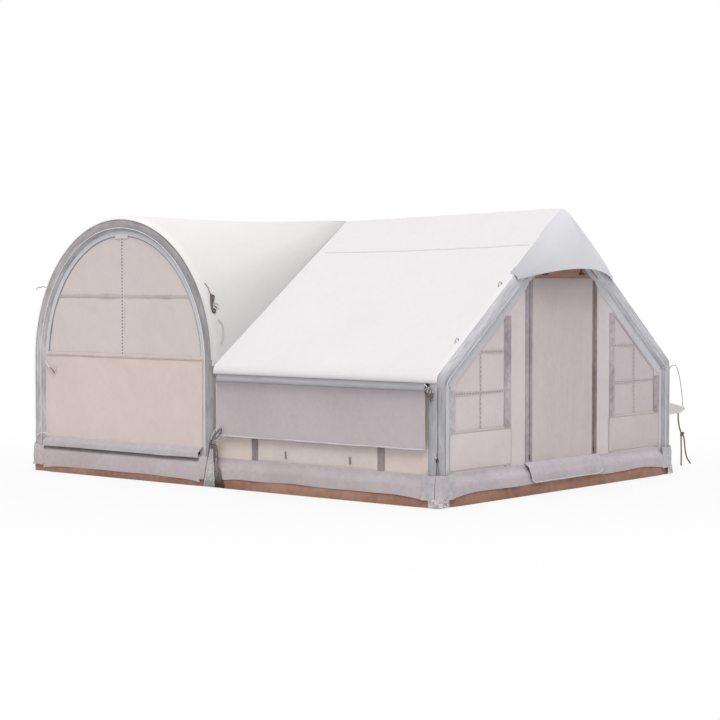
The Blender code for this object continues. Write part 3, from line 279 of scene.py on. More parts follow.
def floor_point(across, up):
    """A point of the groundsheet, whose edges beyond the footprint stand up."""
    reach_x, reach_y = FLOOR_HIGH.x, FLOOR_HIGH.y
    lift = max(abs(across) - reach_x, abs(up) - reach_y, 0)
    x, y = max(min(across, reach_x), -reach_x), max(min(up, reach_y), -reach_y)
    over_x, over_y = abs(x) - (reach_x - CORNER_ROUND), abs(y) - (reach_y - CORNER_ROUND)
    if over_x > 0 and over_y > 0:
        pull = max(over_x, over_y) / hypot(over_x, over_y)
        x = copysign(reach_x - CORNER_ROUND + over_x * pull, x)
        y = copysign(reach_y - CORNER_ROUND + over_y * pull, y)
    return Vector((x, y, lift))


def floor_relief(across, up, point):
    """The raised edges swell a little, but not at the beams' feet."""
    if abs(across) < FLOOR_HIGH.x and abs(up) < FLOOR_HIGH.y:
        return 0
    foot = abs(point.x) > FLOOR_HIGH.x - FOOT_REACH and abs(point.y) > FLOOR_HIGH.y - FOOT_REACH
    if foot or abs(point.x - FLOOR_SEAM) < FOOT_REACH / 2:
        return FOOT_RECESS
    swell = sin(min(point.z / 0.08, 1) * pi)
    return -EDGE_SWELL * swell * (0.6 + ripple(point.x * 5, point.y * 5, point.z * 9))


def floor_steps(reach):
    inner = reach - CORNER_ROUND
    edge = steps(0.016, inner, reach, reach + FLOOR_HIGH.z)
    return [-value for value in reversed(edge)] + steps(0.09, -inner, inner)[1:-1] + edge


cloth_finish("groundsheet_cloth", (144, 98, 78), (187, 145, 127), 0.9, 0.012, 9, 0.4)
sheet_steps = floor_steps(FLOOR_HIGH.x), floor_steps(FLOOR_HIGH.y)
groundsheet = lay_cloth("groundsheet_cloth", *sheet_steps, floor_point, floor_relief)
cover(groundsheet, "groundsheet_cloth", "floor_cloth", "stretched", "floor", "groundsheet")


# Air beams: round sleeves of grey coated cloth, each pumped tight by a film bladder inside it. One
# bent beam frames the gable end, two arches frame the vault's ends, and straight beams join them.
THIN, PIPING = 0.001, 0.0035
FLOOR_TOP = 0.0045
BEAM_RADIUS, ROOF_RADIUS = 0.065, 0.0695
X_GABLE_BEAM, X_MIDDLE_BEAM, X_SEAM, X_VAULT = 2.1395, 0.031, -0.0345, -1.1195
Y_BEAM, EAVE, RIDGE, SEAM_RIDGE = 1.5655, 0.9235, 2.2, 2.143
ARCH_WIDTH, ARCH_RISE, SPRING = 1.085, 1.223, 0.95
VAULT_TOP = SPRING + ARCH_RISE
CANOPY_SAG = 0.02
BEND_RADIUS = 0.08
BEAM_GAP = 0.0655
WRINKLE, PINCH, BULGE = 0.0016, 0.0012, 0.0025
WELT_OUT, WELT_IN = BEAM_RADIUS * cos(pi / 6) + PIPING, BEAM_RADIUS / 2
LENGTHWISE = (1, 0.15, 1)


def solid_finish(name, colour, shade, scale, dent, roughness, metallic=0.0):
    """A finish for solid parts: uneven shade, fine dents and worn gloss."""
    material, tree, shader, start, place = new_finish(name)
    grain = start.noise(place, scale, 5)
    base = start.mix(start.ramp(grain, (0.35, 0), (0.65, 1)), paint(colour), paint(shade))
    gloss = start.ramp(grain, (0.3, roughness - 0.08), (0.7, roughness + 0.08))
    normal = start.bump(grain, dent, 0.8)
    plug(tree, shader, {"Base Color": base, "Roughness": gloss, "Normal": normal, "Metallic": metallic})
    finishes[name] = material


def refinish(finish, *names):
    """Gives CAD nodes that stay in view a finish."""
    for name in names:
        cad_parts[name].material_slots[0].material = finishes[finish]


def hump(value, middle, width):
    """1 at the middle, and falling to 0 on both sides of it."""
    return exp(-(((value - middle) / width) ** 2))


def roof_pitch(ridge):
    """Angle of a slope that runs from the ridge to a tangent on the eave roll."""
    rise = ridge - EAVE
    return acos(ROOF_RADIUS / hypot(rise, Y_BEAM)) - atan2(Y_BEAM, rise)


PITCH, SEAM_PITCH = roof_pitch(RIDGE), roof_pitch(SEAM_RIDGE)
APEX = RIDGE - ROOF_RADIUS / cos(PITCH)
SEAM_APEX = SEAM_RIDGE - ROOF_RADIUS / cos(SEAM_PITCH)


def slope_line(across, drop):
    """Height of a line this far straight below the gable roof."""
    return RIDGE - abs(across) * tan(PITCH) - drop


def rounded(points, radius, count=12):
    """The line with each inner corner turned into an arc of this radius."""
    path = [Vector(points[0])]
    for before, corner, after in zip(points, points[1:], points[2:]):
        corner = Vector(corner)
        back = (Vector(before) - corner).normalized()
        ahead = (Vector(after) - corner).normalized()
        half = back.angle(ahead) / 2
        centre = corner + (back + ahead).normalized() * radius / sin(half)
        first = (corner + back * radius / tan(half) - centre).normalized()
        last = (corner + ahead * radius / tan(half) - centre).normalized()
        path += [centre + first.slerp(last, step / count) * radius for step in range(count + 1)]
    return path + [Vector(points[-1])]


def follow(line):
    """Gives the point at any distance along a line of points, and the line's length."""
    points = [Vector(point) for point in line]
    marks = [0.0]
    for start, end in zip(points, points[1:]):
        marks.append(marks[-1] + (end - start).length)

    def at(distance):
        target = min(max(distance, 0), marks[-1])
        index = min(bisect.bisect_right(marks, target), len(points) - 1) - 1
        return points[index].lerp(points[index + 1], (target - marks[index]) / (marks[index + 1] - marks[index]))

    return at, marks[-1]


def roll_tube(name, line, radius, spacing, relief=None, sides=44):
    """Rolls a cloth into a tube round a line: across turns round it, and up runs along it."""
    at, length = follow(line)
    stations = steps(spacing, 0, length)
    rings = {}
    side = None
    for place in stations:
        ahead = (at(place + 0.01) - at(place - 0.01)).normalized()
        side = (side - ahead * side.dot(ahead)).normalized() if side else ahead.orthogonal().normalized()
        rings[place] = at(place), side.copy(), ahead.cross(side)
    turns = [tau * step / sides for step in range(sides + 1)]

    def point(turn, up):
        middle, right, top = rings[up]
        return middle + (right * cos(turn) + top * sin(turn)) * radius

    return lay_cloth(name, turns, stations, point, relief, closed=True)


def pipe(name, line, radius, spacing, finish, slot, *nodes, sides=8, body="tent", thickness=THIN):
    """A thin tube of cloth along a line, sewn on."""
    tube = roll_tube(name, line, radius, spacing, sides=sides)
    return sew(tube, finish, slot, *nodes, body=body, thickness=thickness)


def sleeve_relief(seed, bends):
    """Long wrinkles all along a sleeve, and cross folds where it bends and near its feet."""

    def relief(turn, up, point):
        ring = Vector((cos(turn), sin(turn), 0))
        wave = noise.noise(ring * 2.0 + Vector((seed, 0, up * 1.3)))
        ridge = max(1 - abs(noise.noise(ring * 3.6 + Vector((0, seed, up * 2.4)))) * 8, 0)
        fold = max([hump(up, mark, 0.12) for mark in bends] + [exp(-point.z / 0.1)])
        cross = sin(up * 170 + 5 * noise.noise(ring * 1.5 + Vector((seed, seed, up * 6))))
        return min(max(WRINKLE * (wave + ridge + fold * cross), -PINCH), BULGE)

    return relief


def rafter_line(x, pitch, apex):
    y, z = Y_BEAM - BEAM_GAP * cos(pitch), EAVE + BEAM_GAP * sin(pitch)
    return rounded([(x, -y, z), (x, 0, apex), (x, y, z)], BEND_RADIUS)


def arch_place(inset, turn):
    """(across, up) inside the arch's outline by inset. The turn is 0 at its right spring, pi at its left."""
    return (ARCH_WIDTH - inset) * cos(turn), SPRING + (ARCH_RISE - inset) * sin(turn)


def arch_line(y, inset=ROOF_RADIUS):
    places = [arch_place(inset, pi * (1 - step / 64)) for step in range(65)]
    places = [(inset - ARCH_WIDTH, FLOOR_TOP), *places, (ARCH_WIDTH - inset, FLOOR_TOP)]
    return [Vector((X_VAULT + across, y, up)) for across, up in places]


# Painted shade: the grey sleeves darken from the vault's outer flank towards the seam with the hall.
cloth_finish("sleeve_cloth", (201, 196, 198), (163, 156, 158), 1.0, 0.01, 13, 0.3, LENGTHWISE,
    ("X", X_VAULT - ARCH_WIDTH, X_SEAM, (0.0, 1.0), (0.08, 0.98), (0.35, 0.78), (1.0, 0.66)))
# Painted shade: the gable beam is darker below the eaves, so its posts read as shaded under its lit rafters.
cloth_finish("gable_sleeve_cloth", (219, 218, 222), (182, 181, 187), 0.9, 0.01, 13, 0.3, LENGTHWISE,
    ("Z", 0.8, 1.04, (0.0, 0.63), (0.5, 0.7), (1.0, 0.93)))
solid_finish("bladder_film", (205, 208, 212), (190, 194, 199), 14, 0.002, 0.35)
x, y = X_GABLE_BEAM, Y_BEAM
gable_line = rounded([(x, -y, FLOOR_TOP), (x, -y, EAVE), (x, 0, APEX), (x, y, EAVE), (x, y, FLOOR_TOP)], BEND_RADIUS)
corner_cut = BEND_RADIUS / cos(PITCH) - BEND_RADIUS
stand_off = BEAM_RADIUS * (1 + (APEX - SEAM_APEX) / (X_GABLE_BEAM - X_MIDDLE_BEAM) / 2) + 0.0005
vault_height = VAULT_TOP - ROOF_RADIUS - CANOPY_SAG
eave_start, eave_end = X_SEAM + 0.0005, X_GABLE_BEAM - BEAM_GAP
reach = Y_BEAM - BEAM_GAP
ridge_start = (X_MIDDLE_BEAM + stand_off, 0, SEAM_APEX - corner_cut)
beams = {
    "gable_beam": gable_line,
    "middle_beam": rafter_line(X_MIDDLE_BEAM, SEAM_PITCH, SEAM_APEX),
    "front_arch": arch_line(-Y_BEAM),
    "rear_arch": arch_line(Y_BEAM),
    "front_eave_beam": [(eave_start, -Y_BEAM, EAVE), (eave_end, -Y_BEAM, EAVE)],
    "rear_eave_beam": [(eave_start, Y_BEAM, EAVE), (eave_end, Y_BEAM, EAVE)],
    "ridge_beam": [ridge_start, (X_GABLE_BEAM - stand_off, 0, APEX - corner_cut)],
    "vault_beam": [(X_VAULT, -reach, vault_height), (X_VAULT, reach, vault_height)],
}
elbow, length = EAVE - FLOOR_TOP, follow(gable_line)[1]
for seed, (name, line) in enumerate(beams.items()):
    gable = name == "gable_beam"
    relief = sleeve_relief(seed * 3.7, (elbow, length / 2, length - elbow) if gable else ())
    sleeve = roll_tube(name + "_sleeve_cloth", line, BEAM_RADIUS, 0.014, relief)
    sew(sleeve, "gable_sleeve_cloth" if gable else "sleeve_cloth", "sleeve_cloth", name + "_sleeve")
refinish("bladder_film", *[name + "_bladder" for name in beams])


# Gable end: a wall of pale pinkish cloth between the bent beam's posts and rafters, with two cut
# out trapeziums. Behind each is a mesh window whose bars are stitched on, with a tape on each side.
EAST = (1, 0, 0)
HANDS = ((-1, "left"), (1, "right"))
X_WALL, WALL_EDGE = 2.169, 1.507
BEAM_DROP = 0.16095
WALL_SPACING = 0.06
WINDOW_NEAR, WINDOW_FAR, WINDOW_FOOT = 0.77, 1.39, 0.54
WINDOW_DROP, WINDOW_LAP, WINDOW_DEPTH = 0.262, 0.03, 0.0045
WINDOW_ROWS = (0.332, 0.7)
BAR_WIDTH = 0.024
UPRIGHT = 1.075
DOORWAY = (-0.385, 0.385, 0.225, 1.635)
TAPE_FOOT, TAPE_FRONT = 0.235, 0.0018
GABLE_TAPES = (("inner", 0.73, 0.08), ("outer", 1.4325, 0.085))
FLANGE_FRONT, FLANGE_NEAR, FLANGE_FAR, FLANGE_WIDTH = 0.0035, 1.47, 0.03, 0.07
POST_FLANGE, POST_FLANGE_WIDTH = (1.487, 0.2, 0.89), 0.036
# Painted shade: windows and pockets darken from the near side of the gable (-Y) to the far side (+Y).
FAR_SHADE = ("Y", -1.0, 1.2, (0.0, 1.0), (1.0, 0.86))
cloth_finish("welt_cloth", (226, 224, 227), (206, 203, 207), 0.6, 0.004, 9, 0.2)
cloth_finish("wall_cloth", (213, 203, 204), (203, 192, 192), 0.6, 0.008, 5, 0.25)
cloth_finish("window_cloth", (212, 202, 205), (203, 193, 195), 0.6, 0.01, 6, 0.1, None, FAR_SHADE)
cloth_finish("tape_cloth", (196, 187, 191), (146, 137, 142), 1.0, 0.01, 16, 0.1)
cloth_finish("bar_cloth", (199, 190, 194), (174, 165, 169), 0.6, 0.006, 9, 0.0, None, None,
    (0.034, BAR_WIDTH, (138, 129, 133)))
cloth_finish("flange_cloth", (204, 204, 210), (182, 181, 187), 0.6, 0.012, 10)


def plane(out, distance, middle=0.0):
    """An upright plane facing out. Its points are (across to the right, up, forward)."""
    out = Vector(out)
    along = Vector((0, 0, 1)).cross(out)
    centre = Vector((abs(out.y) * middle, 0, 0)) + out * distance

    def at(across, up, forward=0.0):
        return centre + along * across + out * forward + Vector((0, 0, up))

    return at


def slice_shape(shape, point, normal, clear=False):
    geometry = shape.verts[:] + shape.edges[:] + shape.faces[:]
    bmesh.ops.bisect_plane(shape, geom=geometry, plane_co=point, plane_no=normal, dist=0.00001, clear_outer=clear)


def trim_slopes(cloth, drop):
    """Cuts a gable cloth along both roof slopes, this far straight below the roof."""
    for side in (-1, 1):
        normal = (0, side * sin(PITCH), cos(PITCH))
        edit_cloth(cloth, lambda shape: slice_shape(shape, (0, 0, RIDGE - drop), normal, clear=True))


def cut_opening(cloth, corners, out):
    """Cuts a straight-sided opening, whose corners run anticlockwise seen from outside."""
    planes = []
    for start, end in zip(corners, corners[1:] + corners[:1]):
        planes.append((start, (end - start).cross(Vector(out)).normalized()))

    def cut(shape):
        for point, normal in planes:
            slice_shape(shape, point, normal)
        inside = []
        for face in shape.faces:
            middle = face.calc_center_median()
            if all((middle - point).dot(normal) < 0 for point, normal in planes):
                inside.append(face)
        bmesh.ops.delete(shape, geom=inside, context="FACES")

    edit_cloth(cloth, cut)


def cut_square(cloth, at, out, left, right, low, high):
    cut_opening(cloth, [at(left, low), at(right, low), at(right, high), at(left, high)], out)


def slack(depth, scale=2.6):
    """Relief of a cloth that hangs a little slack, by up to this depth either way."""
    return lambda across, up, point: depth * noise.noise(point * scale)


def sunk(depth, scale):
    """Relief of a mesh that is drawn in, by up to this depth."""
    return lambda across, up, point: -depth * abs(noise.noise(point * scale))


def ribbon(name, line, width, out, rise=0.0012, waver=0.0, spacing=0.02):
    """A narrow ribbon along a line, crowned in its middle by rise. Its UV runs along, then across."""
    at, length = follow(line)
    out = Vector(out)

    def point(along, side):
        ahead = (at(along + 0.005) - at(along - 0.005)).normalized()
        wave = waver * ripple(along * 7, len(name), 0)
        return at(along) + out.cross(ahead) * (side + wave) + out * rise * (1 - (2 * side / width) ** 2)

    return lay_cloth(name, steps(spacing, 0, length), steps(width / 5, -width / 2, width / 2), point)


def strip(name, line, width, out, finish, slot="tape_cloth", **shape):
    return sew(ribbon(name, line, width, out, **shape), finish, slot)


gable = plane(EAST, X_WALL)
behind = plane(EAST, X_WALL - WINDOW_DEPTH)
wall_rows = steps(WALL_SPACING, FLOOR_TOP, slope_line(0, BEAM_DROP))
gable_wall = lay_cloth(
    "gable_wall_cloth", steps(WALL_SPACING, -WALL_EDGE, WALL_EDGE), wall_rows, gable, slack(0.0012)
)
trim_slopes(gable_wall, BEAM_DROP)
cut_square(gable_wall, gable, EAST, *DOORWAY)
near_top, far_top = slope_line(WINDOW_NEAR, WINDOW_DROP), slope_line(WINDOW_FAR, WINDOW_DROP)
window_heights = [WINDOW_FOOT + (near_top - WINDOW_FOOT) * share for share in WINDOW_ROWS]
for side, name in HANDS:
    near, far = side * WINDOW_NEAR, side * WINDOW_FAR
    corners = [gable(near, WINDOW_FOOT), gable(far, WINDOW_FOOT), gable(far, far_top), gable(near, near_top)]
    cut_opening(gable_wall, corners[::side], EAST)
    ends = sorted((side * (WINDOW_NEAR - WINDOW_LAP), side * (WINDOW_FAR + WINDOW_LAP)))
    top = slope_line(WINDOW_NEAR - WINDOW_LAP, WINDOW_DROP - WINDOW_LAP)
    pane_rows = steps(0.04, WINDOW_FOOT - WINDOW_LAP, top)
    pane = lay_cloth(f"gable_window_{name}_mesh", steps(0.04, *ends), pane_rows, behind, sunk(0.006, 3.1))
    trim_slopes(pane, WINDOW_DROP - WINDOW_LAP / cos(PITCH))
    lines = []
    for height in window_heights:
        end = min(WINDOW_FAR, (RIDGE - height - WINDOW_DROP) / tan(PITCH) - BAR_WIDTH)
        lines.append([(near, height), (side * end, height)])
    lines.append([(side * UPRIGHT, WINDOW_FOOT), (side * UPRIGHT, slope_line(UPRIGHT, WINDOW_DROP) - BAR_WIDTH)])
    bars = []
    for index, line in enumerate(lines):
        path = [behind(*point, 0.0012) for point in sorted(line)]
        bars.append(strip(f"gable_window_{name}_bar_{index}", path, BAR_WIDTH, EAST, "bar_cloth"))
    node = f"gable_window_{name}"
    cover(pane, "window_cloth", "window_cloth", "stretched", "gable_wall_cloth", node, with_pieces=bars)
    for place, middle, width in GABLE_TAPES:
        top = slope_line(middle + width / 2, BEAM_DROP + 0.08)
        line = [gable(side * middle, up, TAPE_FRONT) for up in (TAPE_FOOT, top)]
        tape = ribbon(f"gable_tape_{name}_{place}", line, width, EAST, waver=0.002)
        cover(tape, "tape_cloth", "tape_cloth", "stretched", "gable_wall_cloth")
    inset = BEAM_DROP + 0.036 / cos(PITCH)
    line = [gable(side * y, slope_line(y, inset), FLANGE_FRONT) for y in (FLANGE_NEAR, FLANGE_FAR)]
    flange = ribbon(f"gable_flange_{name}", line[::-side], FLANGE_WIDTH, EAST, rise=0.003)
    y, *heights = POST_FLANGE
    line = [gable(side * y, up, FLANGE_FRONT) for up in heights]
    cloth = ("flange_cloth", "sleeve_cloth")
    upright = strip(f"gable_flange_{name}_post", line, POST_FLANGE_WIDTH, EAST, *cloth, rise=0.003)
    cover(flange, "flange_cloth", "sleeve_cloth", "stretched", "gable_wall_cloth", with_pieces=[upright])
near, far = Y_BEAM - WELT_IN, EAVE - WELT_IN * tan((pi / 2 - PITCH) / 2)
x = X_GABLE_BEAM + WELT_OUT
path = [(x, -near, 0.012), (x, -near, far), (x, 0, APEX - WELT_IN / cos(PITCH)), (x, near, far), (x, near, 0.012)]
welt = pipe("gable_beam_welt", rounded(path, BEND_RADIUS), PIPING, 0.03, "welt_cloth", "sleeve_cloth")
cover(gable_wall, "wall_cloth", "wall_cloth", "stretched", "gable_beam_sleeve_cloth", "gable_wall", with_pieces=[welt])


# Pockets and skirts: flat storage pockets of wall cloth are sewn under the gable windows, and mud
# skirts hang from the walls all round, over the groundsheet's raised edge.
EDGE_X, X_FLANK = 2.209, -2.2045
POCKET_NEAR, POCKET_FAR, POCKET_LOW, POCKET_HIGH = 0.69, 1.46, 0.255, 0.525
POCKET_BULGE = 0.01
SKIRT_TOP, SKIRT_FOOT, SKIRT_REACH = 0.235, 0.055, 1.4885
GABLE_SKIRT_FOOT, SIDE_SKIRT_FOOT = 0.086, 0.079
cloth_finish("skirt_cloth", (196, 188, 192), (178, 167, 170), 0.8, 0.014, 6, 0.2)
cloth_finish("gable_skirt_cloth", (198, 192, 197), (180, 171, 177), 0.8, 0.014, 6, 0.2)
cloth_finish("pocket_cloth", (213, 203, 203), (204, 192, 192), 0.6, 0.008, 5, 0.25, None, FAR_SHADE)
cloth_finish("binding_cloth", (190, 180, 180), (168, 158, 158))
low, high = POCKET_LOW, POCKET_HIGH
for side, name in HANDS:
    left, right = sorted((side * POCKET_NEAR, side * POCKET_FAR))

    def pocket_point(across, up):
        swell = sin(pi * (across - left) / (right - left)) * sin(pi * (up - low) / (high - low))
        fold = 1 + 0.5 * ripple(across * 5, up * 7, side * 3)
        return gable(across, up, 0.0026 + POCKET_BULGE * sqrt(max(swell, 0)) * fold * 0.8)

    pocket = f"gable_pocket_{name}"
    cloth = lay_cloth(pocket + "_cloth", steps(0.03, left, right), steps(0.03, low, high), pocket_point)
    rim = [gable(*corner, 0.0036) for corner in ((left, low), (left, high), (right, high), (right, low))]
    bindings = []
    for index, line in enumerate(zip(rim, rim[1:] + rim[:1])):
        bindings.append(strip(f"{pocket}_binding_{index}", line, 0.01, EAST, "binding_cloth", "wall_cloth"))
    cover(cloth, "pocket_cloth", "wall_cloth", "hung", "gable_wall_cloth", pocket, with_pieces=bindings)


def bent(profile, up):
    """How far out a hanging cloth stands at a height, from a list of (height, out) going down."""
    for (high, first), (low, last) in zip(profile, profile[1:]):
        if up >= low:
            share = (high - up) / (high - low)
            return first + (last - first) * (3 - 2 * share) * share**2
    return profile[-1][1]


def hang_skirt(name, at, reach, wall, edge, seed, finish="skirt_cloth", shoulder=0.158, low=SKIRT_FOOT):
    """Hangs a skirt from the wall, with loose folds and an uneven lower edge."""
    bend = shoulder + 0.6 * (SKIRT_TOP - shoulder)
    profile = [(SKIRT_TOP, wall + 0.0025), (bend, wall + 0.003), (shoulder, edge + 0.0045), (0.0, edge + 0.006)]

    def point(across, share):
        dip = max(0, 1 - (reach - abs(across)) / 0.3) ** 2
        foot = low - 0.026 * dip + 0.012 * ripple(across * 2.3, seed, 0)
        up = foot + (SKIRT_TOP - foot) * share
        fold = ripple(across * 3.1, seed, up * 2) + 0.5 * ripple(across * 9, up * 4, seed)
        return at(across, up, bent(profile, up) + (0.004 + 0.008 * fold) * (1 - share))

    skirt = lay_cloth(name + "_cloth", steps(0.03, -reach, reach), steps(0.1, 0, 1), point)
    cover(skirt, finish, "skirt_cloth", "hung", "groundsheet_cloth", name)


flat_gable = plane(EAST, 0)
low = GABLE_SKIRT_FOOT
hang_skirt("gable_skirt", flat_gable, SKIRT_REACH, X_WALL, EDGE_X, 1, "gable_skirt_cloth", low=low)
hang_skirt("flank_skirt", plane((-1, 0, 0), 0), SKIRT_REACH, -X_FLANK, EDGE_X, 2)


# Door: a panel of wall cloth between two zips, closed over the doorway and hung from a header with
# two toggles that hold it when it is rolled. Its hem flap falls over the raised sill.
DOOR_HALF, DOOR_LOW, DOOR_HIGH = 0.42, 0.25, 1.65495
DOOR_FRONT, BAND_FRONT = 2.1783, 2.1735
BAND_IN, BAND_OUT, BAND_FOOT = 0.405, 0.5, 0.2355
ZIP, ZIP_FOOT, ZIP_WIDTH = 0.452, 0.262, 0.009
HEADER_FOOT, HEADER_TOP, HEADER_HALF = 1.637, 1.75038, 0.38
HEM_HALF, HEM_FOOT, HEM_TOP, HEM_ROUND = 0.51, 0.094, 0.2495, 0.07
HEM_PROFILE = [(0.2495, 2.178), (0.205, 2.2155), (0.155, 2.23), (0.06, 2.2225)]
# Painted shade: the door panel darkens towards its top, under the header and the hood.
cloth_finish("door_cloth", (201, 191, 190), (191, 179, 178), 0.6, 0.014, 4, 0.15, None,
    ("Z", 1.35, 1.65, (0.0, 1.0), (0.7, 0.93), (1.0, 0.78)))
cloth_finish("header_cloth", (168, 132, 118), (156, 119, 105), 0.6, 0.006)
cloth_finish("band_cloth_left", (176, 167, 172), (144, 135, 141), 1.0, 0.008, 14, 0.1)
cloth_finish("band_cloth_right", (156, 142, 140), (124, 108, 104), 1.0, 0.008, 14, 0.1)
cloth_finish("rim_cloth", (214, 208, 208), (200, 192, 192))
solid_finish("zip_teeth", (92, 84, 84), (66, 58, 58), 240, 0.002, 0.5)
solid_finish("zip_metal", (150, 146, 142), (110, 104, 100), 60, 0.0008, 0.35, 0.9)
solid_finish("brown_leather", (96, 70, 58), (66, 44, 36), 90, 0.0012, 0.6)
band = plane(EAST, BAND_FRONT)
bands = []
for side, name in HANDS:
    middle = side * (BAND_IN + BAND_OUT) / 2
    line = [band(middle, BAND_FOOT), band(middle, HEADER_FOOT + 0.005)]
    shape = {"rise": 0.0015, "waver": 0.002}
    bands.append(strip(f"door_band_{name}", line, BAND_OUT - BAND_IN, EAST, f"band_cloth_{name}", **shape))
    line = [band(side * ZIP, height, 0.0016) for height in (ZIP_FOOT, HEADER_FOOT)]
    bands.append(strip(f"door_zip_{name}", line, ZIP_WIDTH, EAST, "zip_teeth", "zip_metal", rise=0.002))


def header_point(across, share):
    top = min(HEADER_TOP, slope_line(across, BEAM_DROP))
    return band(across, HEADER_FOOT + (top - HEADER_FOOT) * share, 0.0004)


header_columns = steps(0.03, -BAND_OUT, -HEADER_HALF, HEADER_HALF, BAND_OUT)
header = lay_cloth("door_header", header_columns, steps(0.15, 0, 1), header_point, slack(0.0006, 9))
surround = "door_zip_surround"
cover(header, "header_cloth", "tape_cloth", "stretched", "gable_wall_cloth", surround, with_pieces=bands)


def door_relief(across, up, point):
    """The panel hangs slack in its middle, with long upright folds and a bulge near its foot."""
    inside = min((DOOR_HALF - abs(across)) / 0.12, 1) * min((DOOR_HIGH - up) / 0.1, 1)
    fold = ripple(across * 6, 0, up * 0.9) + 0.5 * ripple(across * 13, 4, up * 2.2)
    return max(inside * min((up - DOOR_LOW) / 0.05, 1), 0) * (0.003 + 0.007 * fold)


door_grid = steps(0.02, -DOOR_HALF, DOOR_HALF), steps(0.03, DOOR_LOW, DOOR_HIGH)
door_panel = lay_cloth("door_panel_cloth", *door_grid, plane(EAST, DOOR_FRONT), door_relief)
cover(door_panel, "door_cloth", "wall_cloth", "hung", "door_header", "door_panel", body="door")


def hem_point(across, share):
    """The hem flap's lower edge is round at both corners and a little uneven."""
    over = max(abs(across) - (HEM_HALF - HEM_ROUND), 0)
    low = HEM_FOOT + HEM_ROUND - sqrt(max(HEM_ROUND**2 - over**2, 0)) + 0.006 * ripple(across * 3, 7, 0)
    up = low + (HEM_TOP - low) * share
    fold = ripple(across * 4, 3, up * 3) + 0.4 * ripple(across * 11, 3, up * 6)
    return flat_gable(across, up, bent(HEM_PROFILE, up) + (0.004 + 0.009 * fold) * (1 - share))


hem = lay_cloth("door_hem_cloth", steps(0.02, -HEM_HALF, HEM_HALF), steps(0.08, 0, 1), hem_point)
edge = [hem_point(across, 0) + Vector((0.001, 0, 0.003)) for across in steps(0.02, -HEM_HALF + 0.01, HEM_HALF - 0.01)]
hem_rim = pipe("door_hem_rim", edge, PIPING, 0.02, "rim_cloth", "skirt_cloth", body="door")
under = "door_panel_cloth gable_skirt_cloth"
cover(hem, "gable_skirt_cloth", "skirt_cloth", "hung", under, "door_hem_flap", body="door", with_pieces=[hem_rim])
refinish("zip_metal", "door_zip_slider_left", "door_zip_slider_right")
refinish("brown_leather", "door_toggle_left", "door_toggle_right")


# Hood: a three-cornered awning of roof cloth that curves out over the door. It is sewn along the
# edge of the hall's roof, and its own lower edge is rolled into a hem.
VISOR_HALF, VISOR_REACH = 0.67, 0.15
VISOR_SIDE, VISOR_MIDDLE = 1.645, 1.732
HEM_ROLL = 0.0065
# Painted shade: the roof cloth darkens on the underside of its eave rolls, down to the hem.
cloth_finish("roof_cloth", (232, 229, 230), (227, 224, 227), 0.7, 0.01, 3, 0.0, None,
    ("Z", 0.9, 1.04, (0.0, 0.5), (0.1, 0.84), (0.25, 0.96), (1.0, 1.0)))
# Painted shade: the hood darkens from its middle towards its near corner at -Y.
cloth_finish("hood_cloth", (225, 225, 229), (219, 219, 223), 0.7, 0.012, 3, 0.0, None,
    ("Y", -0.69, 0.25, (0.0, 0.66), (0.45, 0.88), (1.0, 1.0)))


def visor_point(across, share):
    """A point of the hood: across runs -1 to 1, and share runs from the hem to the roof."""
    y = across * VISOR_HALF
    hem_height = VISOR_SIDE + (VISOR_MIDDLE - VISOR_SIDE) * (1 - across**2)
    start = X_GABLE_BEAM + 0.0005
    out = EDGE_X + 0.004 - start + (VISOR_REACH - 0.004) * (1 - across**2)
    turn = (1 - share) * pi / 2
    return Vector((start + out * sin(turn), y, hem_height + (slope_line(y, 0) - hem_height) * cos(turn)))


def visor_relief(across, share, point):
    loose = sin(pi * share) ** 0.5 if 0 < share < 1 else 0
    return 0.003 * loose * ripple(across * 7, share * 2, 5)


visor = lay_cloth("visor_hood_cloth", steps(0.05, -1, 1), steps(0.05, 0, 1), visor_point, visor_relief)
edge = [visor_point(across, 0) + Vector((-HEM_ROLL, 0, HEM_ROLL * 0.4)) for across in steps(0.04, -0.995, 0.995)]
visor_hem = pipe("visor_hem", edge, HEM_ROLL, 0.02, "hood_cloth", "roof_cloth", sides=14, thickness=CLOTH)
under = "gable_beam_sleeve_cloth"
cover(visor, "hood_cloth", "roof_cloth", "stretched", under, "visor_hood", with_pieces=[visor_hem])


# Vault ends: each arch holds a D-shaped mesh window over a low door. The window is sewn into a band
# beside the sleeve and crossed by a level bar and a stitched seam, and the door has a hem strip.
ENDS = ((-1, "front"), (1, "rear"))
VAULT_WALL, EDGE_Y = 1.595, 1.635
RIM_OUT, RIM_IN, RIM_LOW = 0.128, 0.166, 0.187
RAIL_LOW, RAIL_HIGH = 0.985, 1.03
PANE_INSET, PANE_FOOT, PANE_TURN = 0.152, 1.015, radians(86)
BAR_HEIGHT, BAR_DEPTH, SEAM_WIDTH = 1.505, 0.0036, 0.036
EDGE_TURN, EDGE_DEPTH = 0.08, 0.003
TAB_HALF, TAB_WIDTH = 0.075, 0.042
LOW_WALL_HALF, LOW_WALL_TOP = 0.95, 0.245
BAY_HALF, BAY_FOOT, BAY_TOP, BAY_FRONT = 0.93, 0.3, 1.005, 1.5998
HEM_STRIP = [(0.308, 1.6015), (0.288, 1.629), (0.262, 1.6535), (0.226, 1.655)]
STRIP_FOOT, STRIP_TOP = 0.225, 0.308
PIPING_UP, PIPING_OUT, PIPING_RADIUS = 1.001, 1.6022, 0.0045
VAULT_SKIRT_REACH = 0.9385
cloth_finish("arch_band_cloth", (208, 208, 213), (188, 187, 192), 0.6, 0.014, 12, 0.2)
